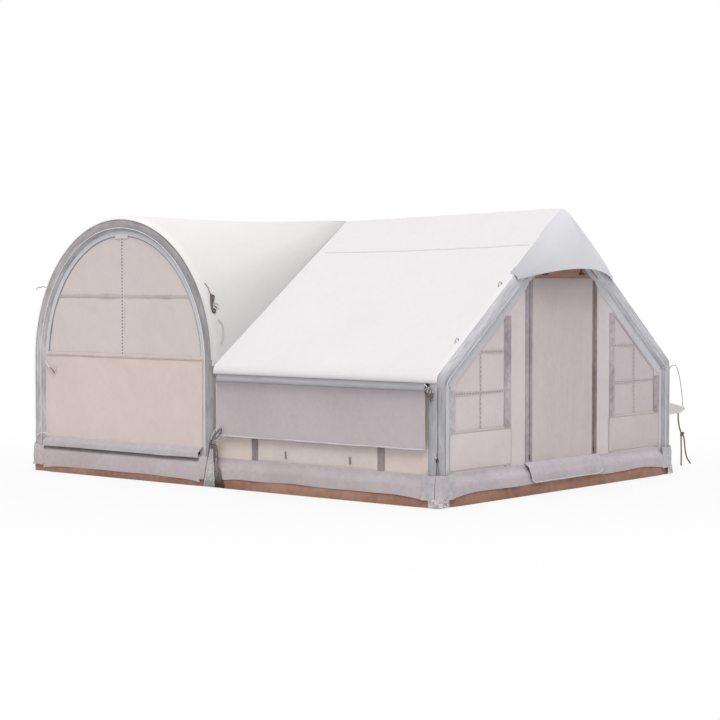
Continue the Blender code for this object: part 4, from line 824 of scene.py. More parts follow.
# Painted shadow: the dark cloth of the strip along the window's arched edge.
cloth_finish("window_edge_cloth", (150, 141, 144), (132, 122, 126))
cloth_finish("level_bar_cloth", (190, 180, 178), (172, 161, 159), 1.0, 0.008, 12)
cloth_finish("seam_cloth", (214, 206, 206), (198, 189, 190), 0.6, 0.004, 9, 0.0, None, None,
    (0.027, SEAM_WIDTH, (104, 92, 94)))
cloth_finish("bay_window_cloth", (208, 199, 197), (202, 192, 191), 0.6, 0.012, 4)
cloth_finish("bay_door_cloth", (212, 197, 192), (206, 190, 186), 0.6, 0.012, 4, 0.1)
cloth_finish("hem_strip_cloth", (187, 181, 185), (166, 159, 162), 0.6, 0.014, 9, 0.1)
reach = ARCH_WIDTH - PANE_INSET
crown = SPRING + ARCH_RISE - RIM_IN
bay_columns = steps(0.03, -BAY_HALF, BAY_HALF)
foot_steps = steps(0.06, -SPRING + FLOOR_TOP, 0)
rim_path = foot_steps[:-1] + [pi - turn for turn in steps(0.05, pi, 0)]
rim_path += [pi - low for low in foot_steps[::-1][1:]]
for side, name in ENDS:
    out = (0, side, 0)
    wall, face = plane(out, VAULT_WALL, X_VAULT), plane(out, 0, X_VAULT)
    vault, bay = f"vault_{name}", f"{name}_bay_door"

    def rim_point(along, share):
        """Along runs up the left post, over the arch from 0 to pi, and down the right post."""
        arched = 0 <= along <= pi
        inner = RIM_IN if arched else RIM_LOW
        inset = inner + (RIM_OUT - inner) * share
        if arched:
            return wall(*arch_place(inset, pi - along))
        left = along < 0
        return wall((-1 if left else 1) * (ARCH_WIDTH - inset), SPRING + (along if left else pi - along))

    rim = lay_cloth(f"{vault}_rim", rim_path, steps(0.25, 0, 1), rim_point, slack(0.0012, 6))
    sew(rim, "arch_band_cloth", "wall_cloth")

    def pane_point(turn, share):
        top = max(SPRING + (ARCH_RISE - PANE_INSET) * cos(turn), PANE_FOOT + 0.002)
        return wall(reach * sin(turn), PANE_FOOT + (top - PANE_FOOT) * share, -0.005)

    def pane_relief(turn, share, point):
        fold = ripple(point.x * 4.5, side, point.z * 1.1) + 0.5 * noise.noise(point * 7)
        return -0.01 * min(min(share, 1 - share) * 8, 1) * abs(fold)

    pane_columns = steps(0.04, -PANE_TURN, PANE_TURN)
    pane = lay_cloth(f"{vault}_mesh", pane_columns, steps(0.035, 0, 1), pane_point, pane_relief)
    width = (ARCH_WIDTH - RIM_IN) * sqrt(1 - ((BAR_HEIGHT - SPRING) / (ARCH_RISE - RIM_IN)) ** 2)
    line = [wall(across, BAR_HEIGHT, -BAR_DEPTH) for across in (-width, width)]
    extras = [strip(f"{vault}_level_bar", line, BAR_WIDTH, out, "level_bar_cloth", waver=0.001)]
    line = [wall(0, up, -BAR_DEPTH) for up in (RAIL_HIGH - 0.01, crown - 0.012)]
    extras.append(strip(f"{vault}_seam", line, SEAM_WIDTH, out, "seam_cloth", waver=0.002))
    line = [wall(across, crown - 0.004, 0.0012) for across in (-TAB_HALF, TAB_HALF)]
    extras.append(strip(f"{vault}_crown_tab", line, TAB_WIDTH, out, "rim_cloth", "wall_cloth"))
    # Painted shadow: a thin dark strip just behind the wall along the window's arched edge paints the shade in the gap
    # round the mesh.
    turns = [pi - turn for turn in steps(0.05, EDGE_TURN, pi - EDGE_TURN)]
    line = [wall(*arch_place(RIM_IN + 0.003, turn), -EDGE_DEPTH) for turn in turns]
    extras.append(strip(f"{vault}_window_edge", line, 0.012, out, "window_edge_cloth"))
    arch = arch_line(side * (Y_BEAM + WELT_OUT), ROOF_RADIUS + WELT_IN)
    for foot in (arch[0], arch[-1]):
        foot.z += 0.01
    welt = pipe(f"{name}_arch_welt", arch, PIPING, 0.03, "welt_cloth", "sleeve_cloth")
    node = f"{vault}_window"
    cover(pane, "bay_window_cloth", "window_cloth", "stretched", f"{vault}_rim", node, with_pieces=extras)
    line = [wall(across, (RAIL_LOW + RAIL_HIGH) / 2, 0.0004) for across in (-reach - 0.02, reach + 0.02)]
    rail = strip(f"{vault}_rail", line, RAIL_HIGH - RAIL_LOW, out, "bay_door_cloth", "wall_cloth", waver=0.001)
    wall_grid = steps(0.1, -LOW_WALL_HALF, LOW_WALL_HALF), steps(0.05, FLOOR_TOP, LOW_WALL_TOP)
    low_wall = lay_cloth(f"{vault}_wall_cloth", *wall_grid, wall, slack(0.001))
    extras = [rim, rail, welt]
    under = f"{name}_arch_sleeve_cloth"
    cover(low_wall, "wall_cloth", "wall_cloth", "stretched", under, f"{vault}_wall", with_pieces=extras)

    def bay_door_point(across, up):
        inside = min((BAY_HALF - abs(across)) / 0.1, 1) * min((BAY_TOP - up) / 0.06, 1)
        fold = ripple(across * 3.2, side * 9, up * 1.6) + 0.5 * ripple(across * 8, side, up * 5)
        return face(across, up, BAY_FRONT + max(inside, 0) * (0.004 + 0.008 * fold))

    def strip_point(across, share):
        foot = STRIP_FOOT + 0.007 * ripple(across * 3, side, 0)
        up = foot + (STRIP_TOP - foot) * share
        fold = ripple(across * 5, side * 2, up * 4)
        return face(across, up, bent(HEM_STRIP, up) + 0.005 * fold * (1 - share))

    bay_door = lay_cloth(f"{vault}_door_cloth", bay_columns, steps(0.03, BAY_FOOT, BAY_TOP), bay_door_point)
    hem = lay_cloth(f"{vault}_door_hem", bay_columns, steps(0.1, 0, 1), strip_point)
    sew(hem, "hem_strip_cloth", "wall_cloth", body=bay)
    line = [face(across, PIPING_UP, PIPING_OUT) for across in (-BAY_HALF + 0.005, BAY_HALF - 0.005)]
    piping = pipe(f"{vault}_door_piping", line, PIPING_RADIUS, 0.03, "level_bar_cloth", "wall_cloth", body=bay)
    extras = {"body": bay, "with_pieces": [hem, piping]}
    cover(bay_door, "bay_door_cloth", "wall_cloth", "hung", f"{vault}_rail", f"{vault}_door", **extras)
    hang_skirt(f"{vault}_skirt", face, VAULT_SKIRT_REACH, VAULT_WALL, EDGE_Y, 5 + side, shoulder=0.188)


# Hall sides: a low wall with a wide mesh window between two tapes, a rolled blind that bulges under
# it, and an outer flap that hangs from the roof's hem and covers the window.
SIDE_SPAN, SIDE_MIDDLE, SIDE_WALL_TOP = (-0.0453, 2.0808), 1.0605, 0.865
SIDE_WINDOW = (0.3855, 1.6755, 0.44, 0.8)
SIDE_TAPES, TAPE_WIDTH = (0.379, 1.641), 0.072
BLIND = (0.412, 1.608, 0.242, 0.445)
TABS, TAB_LINE = (0.707, 1.352), ((0.268, 0.012), (0.295, 0.014), (0.325, 0.015))
SIDE_SKIRT_MIDDLE, SIDE_SKIRT_REACH = 1.02, 1.0425
FLAP_SPAN, FLAP_LOW, FLAP_HIGH, FLAP_BOW = (0.008, 2.0855), 0.4149, 0.8975, 0.01
HEAD, FOOT = (0.895, 0.984), (0.0, 0.025)
CROSSWISE = (0.12, 1, 1)
cloth_finish("side_wall_cloth", (214, 200, 193), (208, 192, 184), 0.6, 0.008, 5, 0.1)
cloth_finish("side_tape_cloth", (166, 155, 154), (128, 116, 116), 1.0, 0.01, 16, 0.1)
cloth_finish("blind_cloth", (214, 203, 200), (204, 191, 188), 0.8, 0.01, 9, 0.1)
# Painted shade: the flap darkens towards its top, under the eave roll.
cloth_finish("flap_cloth", (188, 179, 182), (180, 170, 173), 0.8, 0.012, 5, 0.1, None,
    ("Z", 0.5, 0.9, (0.0, 1.0), (0.4, 0.96), (0.62, 0.9), (0.75, 0.8), (0.87, 0.7), (1.0, 0.76)))
# Painted highlight: the pale strip along the flap's foot is its hem, painted lighter where the light catches the edge.
cloth_finish("flap_hem_cloth", (212, 208, 211), (184, 175, 178), 1.0, 0.006, 9, 0.0, CROSSWISE)
# Painted shade and highlight: a band over the flap's top, dark at its top under the eave roll and at its foot, with a
# pale line between.
cloth_finish("flap_head_cloth", (176, 176, 180), (160, 159, 164), 1.0, 0.008, 9, 0.0, CROSSWISE,
    ("Z", 0.846, 0.9, (0.0, 0.72), (0.22, 0.84), (0.45, 1.0), (0.65, 0.94), (0.85, 0.72), (1.0, 0.58)))
left, right, low, high = SIDE_WINDOW
for side, name in ENDS:
    out = (0, side, 0)
    wall, face = plane(out, VAULT_WALL, SIDE_MIDDLE), plane(out, 0, SIDE_MIDDLE)
    behind = plane(out, VAULT_WALL - WINDOW_DEPTH, SIDE_MIDDLE)
    hall, flap = f"{name}_side", f"{name}_flap"

    def span(*places):
        """Places along X as values across this side's plane, from left to right."""
        return sorted(-side * (place - SIDE_MIDDLE) for place in places)

    wall_grid = steps(WALL_SPACING, *span(*SIDE_SPAN)), steps(WALL_SPACING, FLOOR_TOP, SIDE_WALL_TOP)
    side_wall = lay_cloth(f"{hall}_wall_cloth", *wall_grid, wall, slack(0.0012))
    first, last = span(left, right)
    cut_square(side_wall, wall, out, first, last, low, high)
    under = f"{name}_eave_beam_sleeve_cloth"
    cover(side_wall, "side_wall_cloth", "wall_cloth", "stretched", under, f"{hall}_wall")
    pane_grid = steps(0.05, first - WINDOW_LAP, last + WINDOW_LAP), steps(0.05, low - WINDOW_LAP, high + WINDOW_LAP)
    pane = lay_cloth(f"{hall}_window_mesh", *pane_grid, behind, sunk(0.008, 2.7))
    cover(pane, "window_cloth", "window_cloth", "stretched", f"{hall}_wall_cloth", f"{hall}_window")
    for index, place in enumerate(SIDE_TAPES):
        line = [wall(*span(place), up, TAPE_FRONT) for up in (TAPE_FOOT, SIDE_WALL_TOP - 0.01)]
        tape = ribbon(f"{hall}_tape_{index}", line, TAPE_WIDTH, out, rise=0.003, waver=0.004)
        cover(tape, "side_tape_cloth", "tape_cloth", "stretched", f"{hall}_wall_cloth")
    start, end, blind_low, blind_high = BLIND
    first, last = span(start, end)

    def blind_point(across, up):
        share = (up - blind_low) / (blind_high - blind_low)
        close = min((across - first) / 0.03, (last - across) / 0.03, 1)
        swell = sin(pi * share) ** 0.6 if 0 < share < 1 else 0
        fold = 1 + 0.35 * ripple(across * 4, side * 5, up * 9)
        sag = 0.008 * ripple(across * 2.2, side, 3)
        return wall(across, up + sag * (1 - share), 0.0022 + 0.009 * swell * fold * sqrt(max(close, 0)))

    blind_grid = steps(0.025, first, last), steps(0.01, blind_low, blind_high)
    blind = lay_cloth(f"{hall}_blind", *blind_grid, blind_point)
    cover(blind, "blind_cloth", "window_cloth", "gathered", f"{hall}_wall_cloth")
    for index, place in enumerate(TABS):
        line = [wall(*span(place), *spot) for spot in TAB_LINE]
        tab = ribbon(f"{name}_blind_tab_{index}", line, 0.016, out)
        cover(tab, "side_tape_cloth", "tape_cloth", "hung", f"{hall}_blind")
    flap_ends = span(*FLAP_SPAN)
    columns = steps(0.025, *flap_ends)

    def flap_point(across, share):
        foot = FLAP_LOW + 0.01 * ripple(across * 2.1, side * 4, 0)
        up = foot + (FLAP_HIGH - foot) * share
        down = 1 - share
        bow = FLAP_BOW * sin((across - flap_ends[0]) / (flap_ends[1] - flap_ends[0]) * pi) * down
        roll = 0.012 * hump(FLAP_HIGH - up, 0.05, 0.03)
        fold = ripple(across * 3.4, side * 3, up * 1.5) + 0.4 * ripple(across * 9, side, up * 5)
        return face(across, up, EDGE_Y + bow + roll + 0.009 * abs(fold) * down**0.5)

    def flap_strip(part, finish, ends, proud, spacing):
        """A strip along the flap between two shares of its height, this far in front of it."""

        def point(across, share):
            return flap_point(across, ends[0] + (ends[1] - ends[0]) * share) + Vector((0, side * proud, 0))

        cloth = lay_cloth(f"{hall}_flap_{part}", columns, steps(spacing, 0, 1), point)
        return sew(cloth, finish, "flap_cloth", body=flap)

    flap_cloth = lay_cloth(f"{hall}_flap_cloth", columns, steps(0.04, 0, 1), flap_point)
    # The head strip is painted shade and highlight under the eave roll; the hem strip is a real hem painted pale as a
    # highlight.
    extras = [flap_strip("head", "flap_head_cloth", HEAD, 0.004, 0.125)]
    extras.append(flap_strip("hem", "flap_hem_cloth", FOOT, 0.003, 0.25))
    extras = {"body": flap, "with_pieces": extras}
    cover(flap_cloth, "flap_cloth", "flap_cloth", "hung", "hall_roof_cloth", f"{hall}_flap", **extras)
    skirt_plane = plane(out, 0, SIDE_SKIRT_MIDDLE)
    hang_skirt(f"{hall}_skirt", skirt_plane, SIDE_SKIRT_REACH, VAULT_WALL, EDGE_Y, 9 + side, low=SIDE_SKIRT_FOOT)


# Hall roof: one white sheet drawn over the ridge and the rafters and down over both eave rolls. It
# sags a little between its beams, wraps round the gable rafter, and ends in a hem at the eaves.
ROOF_SAG = 0.018
ROOF_WRAP = radians(35)
ROOF_HEM = 0.9
LAP_SHARE, LAP_WIDTH = 0.74, 0.25
SLOPE_STEPS, EAVE_STEPS = 40, 10
RIDGE_INDEX = 2 + EAVE_STEPS + SLOPE_STEPS
cloth_finish("lap_cloth", (218, 217, 221), (212, 210, 214))
sections = {}


def roof_half(ridge, sag):
    """(across, up, slope of the normal) of half a section, from the hem up to the ridge."""
    pitch = roof_pitch(ridge)
    reach = Y_BEAM + ROOF_RADIUS
    half = [(reach, ROOF_HEM, 0.0), (reach, (ROOF_HEM + EAVE) / 2, 0.0)]
    for step in range(EAVE_STEPS + 1):
        turn = (pi / 2 - pitch) * step / EAVE_STEPS
        half.append((Y_BEAM + ROOF_RADIUS * cos(turn), EAVE + ROOF_RADIUS * sin(turn), turn))
    low = Vector(half[-1][:2])
    high = Vector((0, ridge))
    drop = Vector((sin(pitch), cos(pitch)))
    for step in range(1, SLOPE_STEPS + 1):
        share = step / SLOPE_STEPS
        lap = 0.004 * hump(share, LAP_SHARE, 0.008)
        point = low.lerp(high, share) - drop * (sag * sin(pi * share) - lap)
        turn = pi / 2 - pitch if share < 1 else pi / 2
        half.append((point.x, point.y, turn))
    return half


def roof_point(x, index):
    """A point of the roof: an x past the gable beam is a way round its rafter."""
    start, end = X_MIDDLE_BEAM + BEAM_RADIUS, X_GABLE_BEAM - BEAM_RADIUS
    share = min(max((x - start) / (end - start), 0), 1)
    if x not in sections:
        sections[x] = roof_half(SEAM_RIDGE + (RIDGE - SEAM_RIDGE) * share, ROOF_SAG * sin(pi * share))
    across, up, turn = sections[x][min(index, 2 * RIDGE_INDEX - index)]
    side = -1 if index < RIDGE_INDEX else 1
    over = max((x - X_GABLE_BEAM) / ROOF_RADIUS, 0)
    lost = ROOF_RADIUS * (1 - cos(over))
    across -= lost * cos(turn)
    up -= lost * sin(turn)
    return Vector((min(x, X_GABLE_BEAM) + ROOF_RADIUS * sin(over), side * across, up))


def roof_relief(x, index, point):
    """Slack between the beams, and short tension folds that run in from the beams and the eaves."""
    inside = max(min((x - 0.1) / 0.25, (2.05 - x) / 0.25, 1), 0)
    wave = 0.0024 * noise.noise(point * 1.7) * inside * (1 - hump(point.y, 0, 0.12))
    fold = abs(ripple(point.x * 5.5, point.y * 0.7, 2)) * hump(abs(point.y), 1.42, 0.22) * 0.003
    pull = hump(x, 2.02, 0.22) + hump(x, 0.16, 0.22)
    return wave + fold + abs(ripple(point.x * 1.1, point.y * 5.5, 7)) * pull * 0.0022


wrap_end = X_GABLE_BEAM + ROOF_RADIUS * ROOF_WRAP
roof_columns = steps(0.035, X_SEAM + 0.0005, 2.05) + steps(0.008, 2.05, X_GABLE_BEAM, wrap_end)[1:]
hall_roof = lay_cloth("hall_roof_cloth", roof_columns, list(range(2 * RIDGE_INDEX + 1)), roof_point, roof_relief)
lap_rows = steps(LAP_WIDTH / 2, 0.4, 0.4 + LAP_WIDTH)
lap_index = 2 + EAVE_STEPS + round(LAP_SHARE * SLOPE_STEPS)
laps = []
for low_index, name in ((lap_index, "front"), (2 * RIDGE_INDEX - 1 - lap_index, "rear")):

    def lap_point(x, share):
        """A point of the narrow tape that covers the lap between two widths of the roof."""
        low, high = roof_point(x, low_index), roof_point(x, low_index + 1)
        out = (high - low).cross(Vector((-1, 0, 0))).normalized()
        point = low.lerp(high, share)
        return point + out * (roof_relief(x, low_index, point) + 0.0022)

    lap = lay_cloth(f"roof_lap_{name}", steps(0.03, 0.05, X_GABLE_BEAM - 0.02), lap_rows, lap_point)
    laps.append(sew(lap, "lap_cloth", "roof_cloth"))
cover(hall_roof, "roof_cloth", "roof_cloth", "stretched", "gable_beam_sleeve_cloth", "hall_roof", with_pieces=laps)


# Vault canopy: a second white sheet, drawn from the ground up the blind flank, over the arches and
# down to the hall roof, to which its edge is sewn along a valley. It rolls in round both arches.
CANOPY_WRAP = radians(54)
CANOPY_LIP, CANOPY_HEM = 0.05, 0.006
# Painted shade: the canopy darkens from the vault's top down towards the valley at the hall roof.
cloth_finish("canopy_cloth", (247, 243, 243), (241, 238, 239), 0.7, 0.012, 3, 0.0, None,
    ("X", -0.9, -0.05, (0.0, 1.0), (0.45, 0.9), (0.8, 0.82), (1.0, 0.66)))


def seam_height(y):
    """Height of the hall roof in the plane of the seam."""
    spoke = min(abs(y) - Y_BEAM, ROOF_RADIUS)
    if spoke <= ROOF_RADIUS * sin(SEAM_PITCH):
        return SEAM_RIDGE - abs(y) * tan(SEAM_PITCH)
    return EAVE + sqrt(ROOF_RADIUS**2 - spoke**2)


def canopy_point(turn, y):
    """The turn is below 0 up the flank, 0 to pi over the vault and above pi down the sewn lip."""
    level = max(min(y, Y_BEAM), -Y_BEAM)
    share = min(abs(level) / (Y_BEAM - BEAM_RADIUS), 1)
    sag = CANOPY_SAG * (1 - share**2)
    over = max(abs(y) - Y_BEAM, 0) / ROOF_RADIUS
    lost = ROOF_RADIUS * (1 - cos(over))
    y = copysign(abs(level) + ROOF_RADIUS * sin(over), y)
    if turn <= 0:
        return Vector((X_FLANK + lost, y, SPRING + turn))
    base = SPRING if turn <= pi / 2 else seam_height(level)
    if turn > pi:
        return Vector((X_SEAM - lost, y, base - (turn - pi)))
    x = X_VAULT - (ARCH_WIDTH - lost) * cos(turn)
    return Vector((x, y, base + (VAULT_TOP - base - sag - lost) * sin(turn)))


def canopy_relief(turn, y, point):
    """Slack between the arches, with folds that run down into the valley and along the arches."""
    inside = max(min((1.46 - abs(y)) / 0.25, 1), 0)
    wave = 0.006 * noise.noise(point * 1.5) * inside * (1 - hump(point.x, X_VAULT, 0.15))
    fold = abs(ripple(point.x * 1.4, point.y * 4.2, 3)) * hump(point.x, X_SEAM, 0.35) * 0.007
    crease = abs(ripple(point.x * 5, point.y * 0.8, point.z * 5)) * hump(abs(y), 1.4, 0.16) * 0.003
    return wave + (fold if turn < pi else 0) + crease


canopy_edge = steps(0.008, Y_BEAM, Y_BEAM + ROOF_RADIUS * CANOPY_WRAP)
canopy_rows = [-y for y in canopy_edge[::-1]] + steps(0.04, -Y_BEAM, Y_BEAM)[1:-1] + canopy_edge
canopy_turns = steps(0.06, FLOOR_TOP - SPRING, 0) + steps(0.035, 0, pi)[1:] + [pi + CANOPY_LIP]
vault_canopy = lay_cloth("vault_canopy_cloth", canopy_turns, canopy_rows, canopy_point, canopy_relief)
hems = []
for side, name in ENDS:
    out = Vector((0, side * CANOPY_HEM * 0.6, 0))
    edge = [canopy_point(turn, side * canopy_edge[-1]) + out for turn in canopy_turns[:-1]]
    edge[0].z += 0.006
    hems.append(pipe(f"canopy_hem_{name}", edge, CANOPY_HEM, 0.03, "canopy_cloth", "roof_cloth", sides=10))
under = "front_arch_sleeve_cloth rear_arch_sleeve_cloth"
cover(vault_canopy, "canopy_cloth", "roof_cloth", "stretched", under, "vault_canopy", with_pieces=hems)


# Inflation valve: black moulded plastic on the rear post of the gable beam. Air is pumped into the
# beams through it, and its screw cap keeps the air in.
solid_finish("valve_plastic", (42, 42, 44), (30, 30, 32), 160, 0.0004, 0.45)
refinish("valve_plastic", "inflation_valve", "inflation_valve_cap")


# Free cords and straps: dark ties at the foot of the seam and down the near corner, and at the far
# corner a cord to a cloth tab, from which a brown strap hangs to a knot with two loose tails. Their
# routes are in millimetres: along X from the beam or seam, out from the post's middle, and up.
CORD_RADIUS, STRAP_RADIUS = 0.0025, 0.006
solid_finish("dark_cord", (118, 108, 110), (82, 72, 74), 420, 0.0012, 0.85)
solid_finish("brown_webbing", (128, 98, 80), (104, 76, 60), 300, 0.0012, 0.85)
TIES = {
    "seam_tie": (
        (-115, 72.4, 20), (-100, 73.5, 70), (-81, 74.5, 150), (-64, 73, 230), (-50, 68, 310), (-44, 64.5, 352),
        (-37, 63, 366), (-29, 64, 352), (-16, 69.5, 310), (6, 78, 240), (30, 79.5, 170), (49, 79.5, 110),
        (63, 78, 58), (70, 72.4, 20),
    ),
    "corner_tie": (
        (42.2, 50.6, 870), (42.2, 50.6, 760), (42.3, 50.7, 650), (42.2, 50.6, 540), (42.4, 51.1, 430),
        (41.5, 55, 340), (39, 63.5, 250), (35, 72, 180), (32, 73, 110), (30, 72.5, 60), (28, 72.4, 20),
    ),
    "far_corner_cord": (
        (34.5, 57.7, 880), (38, 76.5, 903), (44, 112.5, 918), (49, 152.5, 905), (50, 187.5, 860),
        (50.2, 217.5, 790), (50.2, 242.5, 700), (50.2, 259.5, 620), (50.2, 264.4, 556.3),
    ),
    "far_corner_strap": (
        (50.2, 190.5, 504.9), (50.2, 192.5, 460), (50.2, 200.5, 420), (50.2, 214.5, 380), (50.2, 240.4, 336.6),
    ),
    "far_corner_tail": (
        (45, 252.5, 299.7), (44, 255.5, 250), (43, 259.5, 190), (42, 262.5, 120), (40, 263.5, 50),
    ),
    "far_corner_fork": (
        (58.9, 272.9, 302.8), (61, 282.5, 250), (60, 294.5, 190), (58, 329.5, 115), (56, 394.5, 60),
    ),
}
# For each tie: curve steps, radius, finish, far end, stiffness and lay.
TIE_KINDS = {
    "seam_tie": (4, CORD_RADIUS, "dark_cord", "object", "limp", "hanging"),
    "corner_tie": (6, CORD_RADIUS, "dark_cord", "object", "limp", "hanging"),
    "far_corner_cord": (4, CORD_RADIUS, "dark_cord", "object", "medium", "loose"),
    "far_corner_strap": (3, STRAP_RADIUS, "brown_webbing", "knot", "medium", "hanging"),
    "far_corner_tail": (3, STRAP_RADIUS, "brown_webbing", "bare", "medium", "hanging"),
    "far_corner_fork": (3, STRAP_RADIUS, "brown_webbing", "bare", "medium", "hanging"),
}


def metres(route):
    return [[value / 1000 for value in point] for point in route]


def smooth_route(route, along, side, count=4):
    """A smooth curve through a route's points of (along X, out from the post, Z)."""
    points = [Vector((along + x, side * (Y_BEAM + out), z)) for x, out, z in route]
    padded = [2 * points[0] - points[1], *points, 2 * points[-1] - points[-2]]
    path = []
    for p0, p1, p2, p3 in zip(padded, padded[1:], padded[2:], padded[3:]):
        for step in range(count):
            t = step / count
            swing = (p2 - p0) * t + (2 * p0 - 5 * p1 + 4 * p2 - p3) * t**2
            path.append(p1 + (swing + (3 * p1 - p0 - 3 * p2 + p3) * t**3) / 2)
    return path + [points[-1]]


def lay_cord(name, path, radius, finish):
    """A round cord along a path, as a curve of one open spline."""
    data = bpy.data.curves.new(name, "CURVE")
    data.dimensions = "3D"
    data.bevel_depth = radius
    data.bevel_resolution = 4
    data.use_fill_caps = True
    spline = data.splines.new("POLY")
    spline.points.add(len(path) - 1)
    for point, place in zip(spline.points, path):
        point.co = (*place, 1)
    cord = bpy.data.objects.new(name, data)
    bpy.context.scene.collection.objects.link(cord)
    data.materials.append(finishes[finish])
    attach(cord, "tent")
    return cord


def declare_cord(cord, path, radius, **manner):
    length = sum((end - start).length for start, end in zip(path, path[1:]))
    tuple(path[0])


paths, cords = {}, {}
for name, route in TIES.items():
    count, radius, stuff, *_ = TIE_KINDS[name]
    far = name.startswith("far")
    start = X_SEAM if name == "seam_tie" else X_GABLE_BEAM
    paths[name] = smooth_route(metres(route), start, 1 if far else -1, count)
    cords[name] = lay_cord(name + "_line", paths[name], radius, stuff)
    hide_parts(name if far else name + "_cord")

# The knot that joins the strap to its tails, tied from three rounds of the same webbing.
KNOT_MIDDLE = Vector((X_GABLE_BEAM + 0.0515, Y_BEAM + 0.2575, 0.3205))
KNOT_ROUNDS = 3
rounds = []
for step in range(KNOT_ROUNDS * 16 + 1):
    turn = tau * step / 16
    tilt = turn / KNOT_ROUNDS
    spot = Vector((0.009 * cos(turn), 0.017 * sin(turn) * cos(tilt), 0.013 * sin(turn + tilt)))
    rounds.append(KNOT_MIDDLE + spot)
webbing = ("brown_webbing", "brown_webbing", "far_corner_knot")
knot = pipe("far_corner_knot_web", rounds, STRAP_RADIUS * 1.15, 0.004, *webbing, sides=12)
for name, path in paths.items():
    count, radius, stuff, far_end, stiffness, lay = TIE_KINDS[name]
    extra = [knot] if name == "far_corner_strap" else []
    declare_cord(cords[name], path, radius, far_end=far_end, stiffness=stiffness, lay=lay, with_pieces=extra)


# The tab's lower and upper edges, as (out from the post's middle, up), and how far in front it is.
TAB_LOW = ((0.05, 0.5), (0.2345, 0.507), (0.3145, 0.54))
TAB_HIGH = ((0.05, 0.6), (0.2245, 0.567), (0.3145, 0.54))
TAB_END, TAB_OUT = 0.3125, 0.0522


def edge_height(edge, reach):
    start, middle, end = edge
    (near, first), (far, last) = (start, middle) if reach < middle[0] else (middle, end)
    return first + (last - first) * (reach - near) / (far - near)


def tab_point(across, share):
    """The tab tapers from its sewn root to its tip, and curls a little."""
    low, high = [edge_height(edge, across - Y_BEAM) for edge in (TAB_LOW, TAB_HIGH)]
    up = low + (high - low) * share
    return Vector((X_GABLE_BEAM + TAB_OUT + 0.004 * ripple(across * 18, up * 20, 0), across, up))


tab_columns = steps(0.01, Y_BEAM + TAB_LOW[0][0], Y_BEAM + TAB_END)
tab = lay_cloth("far_corner_tab_cloth", tab_columns, steps(0.125, 0, 1), tab_point)
cover(tab, "rim_cloth", "sleeve_cloth", "hung", "gable_beam_sleeve_cloth", "far_corner_tab")


# Corner cuffs: pale cloth cups over the feet of the posts, crumpled where the skirts end, and
# pressed flat where a tie runs over them.
CUFF_X, CUFF_Y = EDGE_X + 0.0045, EDGE_Y + 0.0045
CUFF_ROUND = 0.048
CRUMPLE = 0.018
EVEN = (1, 1, 1)
cloth_finish("corner_cuff_cloth", (193, 188, 192), (168, 161, 166), 1.0, 0.014, 8)
# Painted light and shade: the toes' near-white and dark mottle paints the highlights and crease shadows of their
# crumples.
cloth_finish("crumple_lit_shaded_cloth", (226, 221, 223), (126, 116, 117), 1.0, 0.02, 12, 0.0, EVEN)
# Painted shade: the gusset is darkest at the ground and a little darker at its top.
cloth_finish("gusset_cloth", (218, 212, 214), (150, 140, 142), 0.8, 0.02, 12, 0.0, EVEN,
    ("Z", 0.0, 0.3, (0.0, 0.45), (0.2, 0.7), (0.4, 1.0), (0.7, 0.92), (1.0, 0.8)))
# Painted shadow: a dark sheet hung in the gap between the skirts at the seam paints the shade in that gap, nearly
# black at the ground.
cloth_finish("shaded_folds", (164, 152, 153), (112, 98, 98), 1.0, 0.02, 12, 0.0, EVEN,
    ("Z", 0.0, 0.2, (0.0, 0.06), (0.25, 0.25), (0.6, 0.7), (1.0, 1.0)))
GUSSETS = [
    ("gusset", "gusset_cloth", (-0.119, -0.004), (-0.05, -0.03), 0.3),
    ("dark_fold", "shaded_folds", (-0.01, 0.094), (-0.01, 0.03), 0.2),
]


def wrap_cuff(name, line, seed, cords=(), foot=SKIRT_FOOT, top=SKIRT_TOP, stand=0.0):
    """Wraps a crumpled cuff along a level line that runs round a foot, with its outside on the right."""
    at, length = follow(line)
    pressed = [point for path in cords for point in paths[path] if point.z < top + 0.03]

    def point(along, share):
        ahead = (at(along + 0.004) - at(along - 0.004)).normalized()
        out = ahead.cross(Vector((0, 0, 1)))
        low = foot + 0.01 * abs(ripple(along * 14, seed, 1))
        high = top + 0.1 * top * ripple(along * 9, seed, 2)
        up = low + (high - low) * share
        place = at(along) + Vector((0, 0, up))
        free = min([(place - point).length / 0.035 for point in pressed] + [1])
        fold = abs(ripple(along * 16, up * 11, seed)) + 0.5 * abs(ripple(along * 34, up * 25, seed))
        lean = 0.005 * max(share - 0.72, 0) / 0.28
        return place + out * (stand + CRUMPLE * fold * free * (0.2 + 0.8 * (1 - share) ** 2) - lean)

    return lay_cloth(name, steps(0.008, 0, length), steps(0.04, 0, 1), point)


def cuff_line(side_x, side_y, start, end):
    """A line round a corner's foot, which runs so that its outside is on the right."""
    x, y = side_x * CUFF_X, side_y * CUFF_Y
    corner = [(side_x * start, y, 0), (x, y, 0), (x, side_y * end, 0)]
    return rounded(corner if side_x * side_y < 0 else corner[::-1], CUFF_ROUND)


